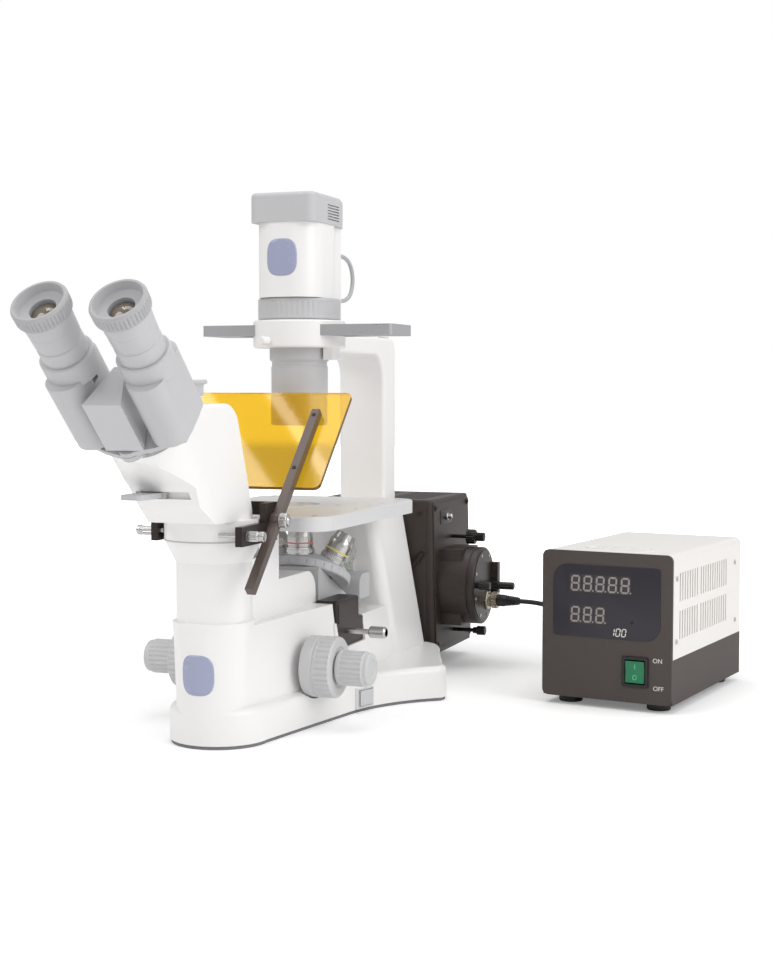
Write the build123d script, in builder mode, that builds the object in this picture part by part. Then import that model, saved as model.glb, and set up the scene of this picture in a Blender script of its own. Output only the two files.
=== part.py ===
from build123d import *
from math import cos, pi, radians, sin, sqrt, tan
import os

os.makedirs("parts", exist_ok=True)

# All lengths are millimetres. X points right, Y to the rear, Z up.
# The origin is on the bench, straight below the optical axis of the objective in use.

# Fits
running = 0.05
loose = 0.3

# Base casting
rim_height = 3.0
foot_top = 33.0
nose_y = -171.0
nose_radius = 43.0
neck_y = -183.0
neck_radius = 31.5
neck_collar_radius = 34.4
neck_top = 154.0
body_top = 100.0
deck_top = 82.0
front_end_y = -34.0
column_front = 98.0
column_rear = 192.0
wall_half = 27.0
stage_bottom = 176.0
light_path_radius = 14.0

# Stage
stage_thick = 12.5
stage_top = stage_bottom + stage_thick
stage_half = 82.5
stage_front = -140.0
stage_rear = 106.0
stage_opening = 52.0
insert_radius = 55.0
insert_thick = 3.0

# Pillar, arm, lamp
pillar_half = 25.0
pillar_front = 162.0
pillar_rear = 197.0
arm_top = 349.0
arm_bottom = 331.0
spine_front = 33.0
spine_rear = 45.0
carriage_radius = 43.0
carriage_bottom = 335.0
carriage_top = 360.5
ring_bottom = 361.0
tower_bottom = 381.0
tower_height = 68.0
tower_top = tower_bottom + tower_height
tower_half = 31.0
tower_front = -41.0
tower_rear = 31.0
tower_corner = 24.0
tower_wall = 4.5
ring_radius = 38.5
cap_height = 27.0
cap_lip = 1.2
sleeve_radius = 20.0

# Phase slider
slider_left = -87.6
slider_right = 102.0
slider_half = 28.0
slider_bottom = 346.0
slider_thick = 10.0

# Nosepiece
tilt = radians(26.0)
apex = (0.0, 0.0, 81.0)
turret_axis = (0.0, sin(tilt), cos(tilt))
dome_radius = 62.0
turret_radius = 40.7
turret_floor = 38.8
seat = 60.7
objective_bore = 8.5
objective_count = 5
pivot_radius = 3.5
carriage_gap = 0.5

# Focus drive
shaft_y = -95.0
shaft_z = 53.5
module_size = 1.0
tooth_count = 14
pressure_angle = radians(20.0)
backlash = 0.1
pitch_radius = module_size * tooth_count / 2
pinion_left = -30.0
pinion_width = 10.0
bearing_radius = 9.0
bearing_face = 49.3
knob_radius = 27.0
spindle_radius = 3.0

# Fluorescence set
tube_z = 68.0
tube_radius = 11.0
block_left = -36.0
block_right = 51.0
block_half = 32.0
block_bottom = 58.0
block_top = 81.0
house_front = 200.0
house_rear = 327.0
house_bottom = 17.0
house_top = 180.0
house_half = 64.0
house_flare = 4.0
socket_y = 250.0
socket_z = 86.3
socket_radius = 41.0
socket_face = 106.0

# Rocker on the foot
rocker_half = 9.0
rocker_tall = 7.5
rocker_pin = 1.0
flank_high = 9.5

# Viewing head
slope = sqrt(0.5)
eye_back = 400.0
hinge_up = -48.7
head_origin = (0.0, (hinge_up - eye_back) * slope, (eye_back + hinge_up) * slope)
eye_out = (0.0, -slope, slope)
eye_up = (0.0, slope, slope)
eye_side = 32.0
eye_rise = 24.0
flange_top = 189.7
flange_radius = 41.0

# Shield and its yoke
yoke_inner = 42.0
yoke_outer = 48.0
pivot_y = -170.0
pivot_z = 188.0
pin_radius = 3.0
screw_z = 179.0
rod_angle = radians(45.4)
rod_side = 7.5
rod_middle = 52.0
shield_half = 77.0
shield_thick = 3.5

# Power supply
supply_x = 216.2
supply_y = 80.7
supply_turn = -9.2
supply_wide = 128.0
supply_deep = 203.0
supply_foot = 8.0
supply_split = 50.0
supply_top = 146.0
supply_corner = 6.0
foot_inset = 20.0
switch_across = 93.0
switch_rise = 37.0
switch_half_wide = 10.5
switch_half_tall = 12.0
louvre_pitch = 7.0
louvre_wide = 3.0
louvre_tall = 26.5

# Cord
cord_diameter = 5.0


def direction_of(position):
    """Direction of objective number position: it leans by the tilt from the turret axis."""
    turn_by = 2 * pi * position / objective_count
    lift = sin(tilt) * cos(turn_by)
    return (
        sin(tilt) * sin(turn_by),
        cos(tilt) * sin(tilt) - lift * cos(tilt),
        cos(tilt) * cos(tilt) + lift * sin(tilt),
    )


def along(origin, direction, distance):
    """Point at a distance from an origin in a direction."""
    return tuple(o + d * distance for o, d in zip(origin, direction))


def axis_plane(origin, direction):
    """Plane that holds an axis: local x runs away from the axis, local y along it."""
    helper = (1, 0, 0) if abs(direction[0]) < 0.9 else (0, 1, 0)
    side = Vector(*direction).cross(Vector(*helper)).normalized()
    return Plane(origin=origin, x_dir=side, z_dir=side.cross(Vector(*direction)))


def turned(origin, direction, points, mode=Mode.ADD):
    """Turn a closed outline of (radius, distance) points about an axis inside the open part."""
    with BuildSketch(axis_plane(origin, direction)) as outline:
        with BuildLine():
            Polyline(*points, close=True)
        make_face()
    return revolve(outline.sketch, axis=Axis(origin, direction), mode=mode)


def rod(origin, direction, radius, start, end, mode=Mode.ADD):
    """Round bar along an axis from start to end."""
    return turned(origin, direction, [(0, start), (radius, start), (radius, end), (0, end)], mode)


def soft_rod(origin, direction, radius, start, end, edge, mode=Mode.ADD):
    """Round bar with both rims broken by a chamfer."""
    points = [(0, start), (radius - edge, start), (radius, start + edge)]
    points += [(radius, end - edge), (radius - edge, end), (0, end)]
    return turned(origin, direction, points, mode)


def slab(plane, points, start, end, mode=Mode.ADD):
    """Closed outline on a plane, pushed from start to end along the plane's normal."""
    with BuildSketch(plane.offset(start)) as outline:
        with BuildLine():
            Polyline(*points, close=True)
        make_face()
    return extrude(outline.sketch, amount=end - start, mode=mode)


def block(low, high, mode=Mode.ADD):
    """Box between two corners."""
    size = [h - l for l, h in zip(low, high)]
    middle = tuple((h + l) / 2 for l, h in zip(low, high))
    with Locations(middle):
        return Box(*size, mode=mode)


side_plane = Plane.YZ
right = (1, 0, 0)
up = (0, 0, 1)
back = (0, 1, 0)


def rocker(length, depth, rise):
    """Rocker cap seen from its side: a shallow valley in front, a keel behind the pivot."""
    half = length / 2
    return [(-half, 0), (-half, rise + 1.2), (0, rise), (half, rise + 1.2), (half, 0), (0, -depth)]


def framed(half, depth):
    """Rectangle in a rocker plane: along the flank by half to each side, in and out of it."""
    return [(-half, -depth), (half, -depth), (half, 2.0), (-half, 2.0)]


# Plane of the rocker on the right flank: x runs rearward along the flank, y points out of it
flank_turn = radians(72.7)
flank_origin = (73.0, -22.0, 13.5)
flank_plane = Plane(
    origin=flank_origin,
    x_dir=(cos(flank_turn), sin(flank_turn), 0),
    z_dir=(0, 0, -1),
)


def foot_outline(grow):
    """Outline of the foot, one half drawn and the other mirrored, grown or shrunk."""
    with BuildSketch(Plane.XY) as outline:
        with BuildLine():
            ThreePointArc((0, nose_y - nose_radius), (28, -203.6), (nose_radius, nose_y))
            ThreePointArc((nose_radius, nose_y), (56, -98), (66, -45))
            ThreePointArc((66, -45), (86, 9), (124, 50))
            ThreePointArc((124, 50), (125, 62), (118, 75))
            Line((118, 75), (84, 165))
            ThreePointArc((84, 165), (76, 182), (60, 190))
            ThreePointArc((60, 190), (30, 194), (0, 195))
            mirror(about=Plane.YZ)
        make_face()
        if grow:
            offset(amount=grow, kind=Kind.ARC)
    return outline.sketch


with BuildPart() as base_rim:
    extrude(foot_outline(-1.0), amount=rim_height)
    extrude(foot_outline(-12.0), amount=rim_height, mode=Mode.SUBTRACT)
base_rim.part.label = "base_rim"

with BuildPart() as bottom_plate:
    extrude(foot_outline(-12.0 - loose).moved(Location((0, 0, 1.0))), amount=rim_height - 1.0)
bottom_plate.part.label = "bottom_plate"


def body_section(height, nose, waist, end):
    """Section of the front body: a round nose, straight flanks and a flat rear end."""
    with BuildSketch(Plane.XY.offset(height)) as section:
        with BuildLine():
            ThreePointArc((0, neck_y - nose), (nose * slope, neck_y - nose * slope), (nose, neck_y))
            Line((nose, neck_y), (waist, shaft_y))
            Line((waist, shaft_y), (end, front_end_y))
            Line((end, front_end_y), (0, front_end_y))
            mirror(about=Plane.YZ)
        make_face()
    return section.sketch


with BuildPart() as base_casting:
    extrude(foot_outline(0).moved(Location((0, 0, rim_height))), amount=foot_top - rim_height)
    fillet(base_casting.faces().sort_by(Axis.Z)[-1].edges(), radius=6)
    loft([body_section(rim_height, 31.0, 52.0, 58.0), body_section(body_top, 34.0, 40.0, 46.6)])
    # Deck behind the front body, narrower at the top than at the foot
    with BuildSketch(Plane.XY.offset(rim_height)) as deck_low:
        with Locations((0, (front_end_y + column_front) / 2)):
            Rectangle(124, column_front - front_end_y + 8)
    with BuildSketch(Plane.XY.offset(deck_top)) as deck_high:
        with Locations((0, (front_end_y + column_front) / 2)):
            Rectangle(100, column_front - front_end_y + 8)
    loft([deck_low.sketch, deck_high.sketch])
    # Lower column, which tapers up to the rear of the stage
    with BuildSketch(Plane.XY.offset(rim_height)) as column_low:
        with Locations((0, (column_front + column_rear) / 2)):
            RectangleRounded(134, column_rear - column_front, 12)
    with BuildSketch(Plane.XY.offset(stage_bottom)) as column_high:
        with Locations((0, (column_front + column_rear) / 2)):
            RectangleRounded(72, column_rear - column_front, 12)
    loft([column_low.sketch, column_high.sketch])
    # Wall that carries the front of the stage, with its lower step
    with BuildSketch(side_plane.offset(-wall_half)) as wall:
        with BuildLine():
            Polyline((-165, 80), (-165, stage_bottom), (-110, stage_bottom), (-110, 131), (-47, 131))
            ThreePointArc((-47, 131), (-32.9, 125.1), (-27, 111))
            Polyline((-27, 111), (-27, 60), (-165, 60), (-165, 80))
        make_face()
    extrude(wall.sketch, amount=2 * wall_half)
    rod((0, neck_y, 0), up, flange_radius + 1.0, neck_top, stage_bottom + 1, Mode.SUBTRACT)
    # Neck under the viewing head
    turned(
        (0, neck_y, 0),
        up,
        [(0, 60), (31, 60), (neck_collar_radius, body_top), (neck_collar_radius, body_top + 4),
         (neck_radius, body_top + 5), (neck_radius, neck_top), (0, neck_top)],
    )
    # Room for the drive and the light path, open towards the bottom plate
    block((-34, -150, 0), (34, -40, 90), Mode.SUBTRACT)
    block((-42, -41, 0), (42, 92, 50), Mode.SUBTRACT)
    rod((0, neck_y, 0), up, 26.0, 0, 60, Mode.SUBTRACT)
    rod((0, neck_y, 0), up, light_path_radius, 50, neck_top + 1, Mode.SUBTRACT)
    block((-16, -165, 0), (16, -140, 46), Mode.SUBTRACT)
    # Pocket for the filter block, opening under it, slot for the focus arm
    block((block_left - loose, -block_half - loose, block_bottom), (70, block_half + loose, 90), Mode.SUBTRACT)
    rod((0, 0, 0), up, light_path_radius, 40, 60, Mode.SUBTRACT)
    block((-26.5, 35.5, 40), (-12.5, 53.5, 90), Mode.SUBTRACT)
    # Tunnel for the illuminator tube
    rod((0, 0, tube_z), back, tube_radius + running, 30, column_rear + 1, Mode.SUBTRACT)
    # Bearings of the coarse sleeve through both flanks
    rod((0, shaft_y, shaft_z), right, bearing_radius + running, -70, 70, Mode.SUBTRACT)
    # Round recesses behind the coarse knobs
    for side in (1, -1):
        rod((0, shaft_y, shaft_z), (side, 0, 0), knob_radius + 1.5, bearing_face, 90, Mode.SUBTRACT)
    # Pocket and bezel of the rocker on the right flank of the foot
    slab(flank_plane, framed(11.5, 9.5), -flank_high, flank_high)
    slab(flank_plane, framed(rocker_half + 1, 7.5), -rocker_tall, rocker_tall, Mode.SUBTRACT)
    rod(flank_origin, up, rocker_pin + running, -9.2, 9.2, Mode.SUBTRACT)
base_casting.part.label = "base_casting"

mirror_size = 15.0
with BuildPart() as fold_mirrors:
    # One mirror under the objective and one under the neck, each on a foot on the bottom plate
    with BuildSketch(side_plane.offset(-mirror_size)) as rear_wedge:
        with BuildLine():
            Polyline((-14, rim_height), (16, rim_height), (16, 46), (12, 46), (-14, 20), close=True)
        make_face()
    extrude(rear_wedge.sketch, amount=2 * mirror_size)
    with BuildSketch(side_plane.offset(-mirror_size)) as front_wedge:
        with BuildLine():
            Polyline(
                (neck_y + 14, rim_height),
                (neck_y - 16, rim_height),
                (neck_y - 16, 46),
                (neck_y - 12, 46),
                (neck_y + 14, 20),
                close=True,
            )
        make_face()
    extrude(front_wedge.sketch, amount=2 * mirror_size)
fold_mirrors.part.label = "fold_mirrors"

# Pillar and arm in one bent outline
with BuildPart() as pillar_arm:
    with BuildSketch(side_plane.offset(-pillar_half)) as bend:
        with BuildLine():
            Line((pillar_rear, stage_bottom), (pillar_rear, arm_top - 14))
            ThreePointArc((pillar_rear, arm_top - 14), (192.9, 344.9), (pillar_rear - 14, arm_top))
            Line((pillar_rear - 14, arm_top), (spine_front, arm_top))
            Line((spine_front, arm_top), (spine_front, arm_bottom))
            Line((spine_front, arm_bottom), (pillar_front - 25, arm_bottom))
            ThreePointArc((pillar_front - 25, arm_bottom), (154.7, 323.7), (pillar_front, arm_bottom - 25))
            Polyline((pillar_front, arm_bottom - 25), (pillar_front, stage_bottom), (pillar_rear, stage_bottom))
        make_face()
    extrude(bend.sketch, amount=2 * pillar_half)
    block((-pillar_half, column_rear, 150), (pillar_half, pillar_rear, stage_bottom))
    fillet(pillar_arm.edges().filter_by(Axis.Z).filter_by(lambda e: e.length > 60), radius=4)
pillar_arm.part.label = "pillar_arm"

with BuildPart() as stage_plate:
    with BuildSketch(Plane.XY.offset(stage_bottom)) as stage_outline:
        with Locations((0, (stage_front + stage_rear) / 2)):
            RectangleRounded(2 * stage_half, stage_rear - stage_front, 25)
        Circle(stage_opening, mode=Mode.SUBTRACT)
    extrude(stage_outline.sketch, amount=stage_thick)
    chamfer(stage_plate.faces().sort_by(Axis.Z)[-1].outer_wire().edges(), length=1.2)
    rod((0, 0, 0), up, insert_radius + running, stage_top - insert_thick, stage_top + 1, Mode.SUBTRACT)
    # Row of clip holes on both sides of the insert
    with Locations(
        [(x, y, stage_top) for x in (-70, 70) for y in (-35, 0, 35)]
    ):
        Hole(radius=2.0, depth=8)
stage_plate.part.label = "stage_plate"

with BuildPart() as stage_insert:
    with BuildSketch(Plane.XY.offset(stage_top - insert_thick)):
        Circle(insert_radius)
        Circle(15.0, mode=Mode.SUBTRACT)
        with Locations((38, 0)):
            Circle(4.0, mode=Mode.SUBTRACT)
    extrude(amount=insert_thick)
stage_insert.part.label = "stage_insert"

# Slide that carries the nosepiece: inclined face under the turret, block on the rail behind it
rail_front = column_front - 8.0


def incline(y):
    """Height of the inclined seat at a given y, carriage_gap below the turret."""
    return apex[2] + (turret_floor - carriage_gap - y * sin(tilt)) / cos(tilt)


with BuildPart() as nosepiece_carriage:
    with BuildSketch(side_plane.offset(-26)) as saddle:
        with BuildLine():
            Polyline(
                (-18, 93),
                (-18, incline(-15.6) - 4),
                (-15.6, incline(-15.6)),
                (58, incline(58)),
                (62, incline(58)),
                (62, 93),
                close=True,
            )
        make_face()
    extrude(saddle.sketch, amount=52)
    with BuildSketch(side_plane.offset(-36)) as rear_block:
        with BuildLine():
            Polyline((62, 92), (62, 106))
            ThreePointArc((62, 106), (64.9, 113.1), (72, 116))
            Polyline((72, 116), (rail_front - 0.3, 116), (rail_front - 0.3, 92), (62, 92))
        make_face()
    extrude(rear_block.sketch, amount=72)
    # Dovetail channel that grips the rail
    rod((0, 0, 0), up, 10.0, 90, 140, Mode.SUBTRACT)
    rod(apex, turret_axis, pivot_radius + running, 31.5, 45, Mode.SUBTRACT)
    slab(
        Plane.XY,
        [(-10 - running, rail_front), (10 + running, rail_front), (14 + running, 78 - running),
         (-14 - running, 78 - running)],
        90,
        120,
        Mode.SUBTRACT,
    )
nosepiece_carriage.part.label = "nosepiece_carriage"

with BuildPart() as guide_rail:
    slab(Plane.XY, [(-10, rail_front), (10, rail_front), (14, 78), (-14, 78)], deck_top, 126)
    block((-18, rail_front, deck_top), (18, column_front - 0.0, 126))
guide_rail.part.label = "guide_rail"

# Turning nosepiece: a shallow dome with a seat and a bore for each objective
with BuildPart() as turret:
    with BuildSketch(axis_plane(apex, turret_axis)) as dome:
        with BuildLine():
            rim_height_on_axis = sqrt(dome_radius**2 - turret_radius**2)
            half_way = radians(20.5)
            Polyline((0, turret_floor), (turret_radius - 1, turret_floor), (turret_radius, turret_floor + 1))
            Line((turret_radius, turret_floor + 1), (turret_radius, rim_height_on_axis))
            ThreePointArc(
                (turret_radius, rim_height_on_axis),
                (dome_radius * sin(half_way), dome_radius * cos(half_way)),
                (0, dome_radius),
            )
            Line((0, dome_radius), (0, turret_floor))
        make_face()
    revolve(dome.sketch, axis=Axis(apex, turret_axis))
    for position in range(objective_count):
        rod(apex, direction_of(position), 13.0, seat, 66, Mode.SUBTRACT)
        rod(apex, direction_of(position), objective_bore, 30, seat + 1, Mode.SUBTRACT)
    rod(apex, turret_axis, pivot_radius, 32, 45)
    # Finger grooves round the rim
    for groove in range(30):
        angle = 2 * pi * groove / 30
        outward = (
            cos(angle),
            -sin(angle) * cos(tilt),
            sin(angle) * sin(tilt),
        )
        rod(along(apex, outward, turret_radius + 0.6), turret_axis, 1.2, 40, 45, Mode.SUBTRACT)
turret.part.label = "turret"

# Five objectives, each turned on its own axis: (radius, distance from the apex)
shapes = [
    [(10.5, 88), (8.5, 95), (6.5, 99), (5.5, 102)],
    [(12.0, 80), (10.5, 84), (9.5, 90)],
    [(10.5, 82), (8.0, 92), (6.5, 96)],
    [(11.0, 86), (8.0, 94), (5.5, 100)],
    [(10.5, 87), (8.5, 94), (5.0, 101)],
]
with BuildPart() as objectives:
    for position, tip in enumerate(shapes):
        outline = [(0, seat - 5), (objective_bore - running, seat - 5), (objective_bore - running, seat)]
        outline += [(12.5, seat), (12.5, 67), (11.6, 67.6), (11.6, 68.4), (12.3, 69), (12.3, 76)]
        outline += tip + [(tip[-1][0] - 1.5, tip[-1][1] + 0.3), (2.2, tip[-1][1] - 0.6), (0, tip[-1][1] - 0.6)]
        turned(apex, direction_of(position), outline)
objectives.part.label = "objectives"


def involute(base, angle):
    """Point of the involute of a circle after unrolling by an angle."""
    return (
        base * (cos(angle) + angle * sin(angle)),
        base * (sin(angle) - angle * cos(angle)),
    )


def tooth_space(root, tip):
    """Half outlines of one involute tooth: lists of (x, y) for the right and the left flank."""
    base = pitch_radius * cos(pressure_angle)
    at_pitch = tan(pressure_angle)
    rolled = at_pitch - pressure_angle
    half_tooth = pi / (2 * tooth_count) - backlash / (2 * pitch_radius)
    steps = 6
    last = sqrt((tip / base) ** 2 - 1)
    flank = []
    for step in range(steps + 1):
        x, y = involute(base, last * step / steps)
        turn_back = rolled + half_tooth
        flank.append((x * cos(turn_back) + y * sin(turn_back), y * cos(turn_back) - x * sin(turn_back)))
    start = flank[0]
    scale = root / sqrt(start[0] ** 2 + start[1] ** 2)
    return [(start[0] * scale, start[1] * scale)] + flank


tip_radius = pitch_radius + module_size
root_radius = pitch_radius - 1.25 * module_size
flank_points = tooth_space(root_radius, tip_radius)

with BuildPart() as coarse_sleeve:
    rod((0, shaft_y, shaft_z), right, bearing_radius, 33, 49.5)
    rod((0, shaft_y, shaft_z), right, bearing_radius, -49.5, -33)
    rod((0, shaft_y, shaft_z), right, root_radius - 0.2, -34, 34)
    # Pinion: each tooth is the outline of two involute flanks, pushed along the shaft
    pinion_plane = Plane(origin=(pinion_left, shaft_y, shaft_z), x_dir=(0, 1, 0), z_dir=(1, 0, 0))
    with BuildSketch(pinion_plane) as pinion:
        Circle(root_radius + 0.01)
        for tooth in range(tooth_count):
            angle = 360 * tooth / tooth_count
            with Locations(Location((0, 0, 0), (0, 0, angle))):
                with BuildLine():
                    outline = [(x * 0.5, y * 0.5) for x, y in flank_points[:1]]
                    outline += flank_points
                    outline += [(x, -y) for x, y in reversed(flank_points)]
                    outline += [(x * 0.5, -y * 0.5) for x, y in flank_points[:1]]
                    Polyline(*outline, close=True)
                make_face()
    extrude(pinion.sketch, amount=pinion_width)
    rod((0, shaft_y, shaft_z), right, spindle_radius + running, -60, 60, Mode.SUBTRACT)
coarse_sleeve.part.label = "coarse_sleeve"

with BuildPart() as coarse_knobs:
    for side in (1, -1):
        outward = (side, 0, 0)
        centre = (0, shaft_y, shaft_z)
        turned(
            centre,
            outward,
            [(0, 49.8), (knob_radius - 1.5, 49.8), (knob_radius, 51.3), (knob_radius, 60),
             (knob_radius - 0.8, 60.8), (knob_radius - 0.8, 62), (knob_radius, 62.8), (knob_radius, 76.5),
             (knob_radius - 1.5, 78), (18, 78), (17, 77), (0, 77)],
        )
        rod(centre, outward, bearing_radius, 49.5, 50)
        rod(centre, outward, spindle_radius + running, 45, 90, Mode.SUBTRACT)
        # Grip flutes round the rim
        for flute in range(24):
            angle = 2 * pi * flute / 24
            place = (0, shaft_y + 27.7 * cos(angle), shaft_z + 27.7 * sin(angle))
            rod(place, outward, 1.4, 63.5, 79, Mode.SUBTRACT)
coarse_knobs.part.label = "coarse_knobs"

with BuildPart() as fine_knobs:
    for side in (1, -1):
        outward = (side, 0, 0)
        centre = (0, shaft_y, shaft_z)
        turned(
            centre,
            outward,
            [(0, 78.3), (14, 78.3), (15.5, 79.8), (15.5, 103), (14.3, 104.2), (14.3, 107.5),
             (13.1, 108.7), (9, 108.7), (8, 107.7), (0, 107.7)],
        )
        for flute in range(16):
            angle = 2 * pi * flute / 16
            place = (0, shaft_y + 16.1 * cos(angle), shaft_z + 16.1 * sin(angle))
            rod(place, outward, 1.2, 82, 102, Mode.SUBTRACT)
fine_knobs.part.label = "fine_knobs"

with BuildPart() as fine_spindle:
    rod((0, shaft_y, shaft_z), right, spindle_radius, -78.3, 78.3)
fine_spindle.part.label = "fine_spindle"

# Rack: the mating straight-sided teeth, on an arm that reaches back under the nosepiece slide
rack_pitch_y = shaft_y + pitch_radius
rack_low = 38.0
rack_high = 75.0
circular_pitch = pi * module_size
with BuildPart() as focus_rack:
    with BuildSketch(side_plane.offset(pinion_left)) as rack:
        with BuildLine():
            outline = [(rack_pitch_y + 10, rack_low), (rack_pitch_y + 1.25, rack_low)]
            # A gap between two teeth faces the pinion tooth that points along +Y
            first = -5
            last_tooth = 6
            half_pitch = circular_pitch / 4 - backlash / 2
            lean = tan(pressure_angle)
            for tooth in range(first + 1, last_tooth + 1):
                middle = shaft_z + (tooth - 0.5) * circular_pitch
                outline.append((rack_pitch_y + 1.25, middle - half_pitch - 1.25 * lean))
                outline.append((rack_pitch_y - 1.0, middle - half_pitch + lean))
                outline.append((rack_pitch_y - 1.0, middle + half_pitch - lean))
                outline.append((rack_pitch_y + 1.25, middle + half_pitch + 1.25 * lean))
            outline += [(rack_pitch_y + 1.25, rack_high), (rack_pitch_y + 10, rack_high)]
            Polyline(*outline, close=True)
        make_face()
    extrude(rack.sketch, amount=pinion_width)
    block((-30, rack_pitch_y + 6, rack_low), (-20, 48, 47))
    block((-24, 38, rack_low), (-15, 48, 93))
focus_rack.part.label = "focus_rack"

# Condenser and its carriage
with BuildPart() as condenser_carriage:
    soft_rod((0, 0, 0), up, carriage_radius, carriage_bottom, carriage_top, 1.5)
    block((-50, spine_front, 320), (50, 60, 370), Mode.SUBTRACT)
    block(
        (-50, -slider_half - running, slider_bottom - running),
        (50, slider_half + running, slider_bottom + slider_thick + running),
        Mode.SUBTRACT,
    )
    rod((0, 0, 0), up, 18.0, 330, 370, Mode.SUBTRACT)
    # Clamp screw at the front left and the small block under the right side
    soft_rod((-14, -40, 341), (-0.33, -0.944, 0), 4.0, 0, 10, 0.8)
    block((29, -12, 324), (38, 6, carriage_bottom))
condenser_carriage.part.label = "condenser_carriage"

with BuildPart() as condenser_tube:
    turned(
        (0, 0, 0),
        up,
        [(18, 270), (18, 262), (25.5, 262), (26.5, 263), (26.5, 318), (25.8, 319), (25.8, 322),
         (28, 324), (28, carriage_bottom), (18, carriage_bottom), (18, 300), (22, 296), (22, 274)],
    )
    rod((0, 0, 0), up, 18.1, 264, 268)
condenser_tube.part.label = "condenser_tube"

with BuildPart() as phase_slider:
    with BuildSketch(Plane.XY.offset(slider_bottom)) as slide_outline:
        with Locations(((slider_left + slider_right) / 2, 0)):
            RectangleRounded(slider_right - slider_left, 2 * slider_half, 4)
        with Locations((-45, 0), (0, 0), (45, 0)):
            Circle(15.0, mode=Mode.SUBTRACT)
    extrude(slide_outline.sketch, amount=slider_thick)
    # Grip grooves across the right end
    for groove in range(4):
        x = slider_right - 8 - 3.5 * groove
        block((x, -40, slider_bottom + slider_thick - 1), (x + 1.6, 40, slider_bottom + slider_thick + 1), Mode.SUBTRACT)
phase_slider.part.label = "phase_slider"

with BuildPart() as field_ring:
    turned(
        (0, 0, 0),
        up,
        [(sleeve_radius + running, ring_bottom), (ring_radius - 1, ring_bottom), (ring_radius, ring_bottom + 1),
         (ring_radius, tower_bottom - 1.3), (ring_radius - 1, tower_bottom - 0.3),
         (sleeve_radius + running, tower_bottom - 0.3)],
    )
    for flute in range(40):
        angle = 2 * pi * flute / 40
        place = ((ring_radius + 0.7) * cos(angle), (ring_radius + 0.7) * sin(angle), 0)
        rod(place, up, 1.3, ring_bottom + 3, tower_bottom - 3, Mode.SUBTRACT)
field_ring.part.label = "field_ring"

with BuildPart() as lamp_tower:
    with BuildSketch(Plane.XY.offset(tower_bottom)) as tower_outline:
        with Locations((0, (tower_front + tower_rear) / 2)):
            RectangleRounded(2 * tower_half, tower_rear - tower_front, tower_corner)
    extrude(tower_outline.sketch, amount=tower_height)
    with BuildSketch(Plane.XY.offset(arm_top)) as spine:
        with Locations((0, (spine_rear + 10) / 2)):
            RectangleRounded(2 * pillar_half, spine_rear - 10, 3)
    extrude(spine.sketch, amount=tower_top - arm_top)
    rod((0, 0, 0), up, ring_radius + 0.7, carriage_top + 0.2, tower_bottom, Mode.SUBTRACT)
    block((-50, -60, arm_top - 1), (50, spine_front, carriage_top + 0.4), Mode.SUBTRACT)
    rod((0, 0, 0), up, sleeve_radius, ring_bottom + 0.2, tower_bottom + 2)
    rod((0, 0, 0), up, 15.0, 350, 390, Mode.SUBTRACT)
    with BuildSketch(Plane.XY.offset(tower_bottom + 4)) as tower_bore:
        with Locations((0, (tower_front + tower_rear) / 2)):
            RectangleRounded(
                2 * (tower_half - tower_wall),
                tower_rear - tower_front - 2 * tower_wall,
                tower_corner - tower_wall,
            )
    extrude(tower_bore.sketch, amount=tower_height, mode=Mode.SUBTRACT)
lamp_tower.part.label = "lamp_tower"

with BuildPart() as lamp_cap:
    with BuildSketch(Plane.XY.offset(tower_top)) as cap_outline:
        with Locations((0, (tower_front + tower_rear) / 2)):
            RectangleRounded(2 * (tower_half + cap_lip), tower_rear - tower_front + 2 * cap_lip, 8)
        with Locations((0, spine_rear / 2 + 0.5)):
            RectangleRounded(2 * pillar_half + 4, spine_rear + 1, 5)
    extrude(cap_outline.sketch, amount=cap_height)
    fillet(lamp_cap.faces().sort_by(Axis.Z)[-1].edges(), radius=4)
    # Cooling slits on the right side
    for slit in range(6):
        z = tower_top + 4 + 2.6 * slit
        block((tower_half - 1, -8, z), (tower_half + 9, 20, z + 1.2), Mode.SUBTRACT)
lamp_cap.part.label = "lamp_cap"

with BuildPart() as halogen_lamp:
    lamp_centre = (0, 0, tower_top)
    turned(lamp_centre, up, [(0, -11), (14, -11), (14, 0), (0, 0)])
    turned(lamp_centre, up, [(0, -39), (3, -38), (6, -34), (6, -19), (4, -11), (0, -11)])
halogen_lamp.part.label = "halogen_lamp"

# Fluorescence filter block in its pocket, with the slide that carries two filter cubes
slide_front = -20.0
slide_low = 62.0
slide_high = 78.0
with BuildPart() as filter_block:
    block((block_left, -block_half, block_bottom), (block_right, block_half, block_top))
    with BuildSketch(Plane.XY.offset(block_top)) as turret_box:
        with Locations(((27.5 + block_right) / 2, -4)):
            RectangleRounded(block_right - 27.5, 56, 4)
    extrude(turret_box.sketch, amount=21)
    fillet(filter_block.faces().sort_by(Axis.Z)[-1].edges(), radius=3)
    block((block_left + 4, slide_front, slide_low), (block_right - 4, -slide_front, slide_high), Mode.SUBTRACT)
    rod((0, 0, 0), up, 9.0, 50, 90, Mode.SUBTRACT)
    rod((0, 0, tube_z), back, 7.0, 15, 40, Mode.SUBTRACT)
    rod((0, -14, 73), right, 2.5 + running, 40, 60, Mode.SUBTRACT)
filter_block.part.label = "filter_block"

with BuildPart() as filter_slide:
    block((-11, slide_front + running, slide_low + running), (46, -slide_front - running, slide_high - 0.3))
    for x in (0, 20):
        rod((x, 3, 0), up, 8.0, 50, 90, Mode.SUBTRACT)
    rod((0, -14, 73), right, 2.5, 45, 76)
    turned(
        (0, -14, 73),
        right,
        [(0, 76), (4.5, 76), (5.5, 77), (5.5, 90.5), (4.0, 92), (0, 92)],
    )
filter_slide.part.label = "filter_slide"

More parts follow.
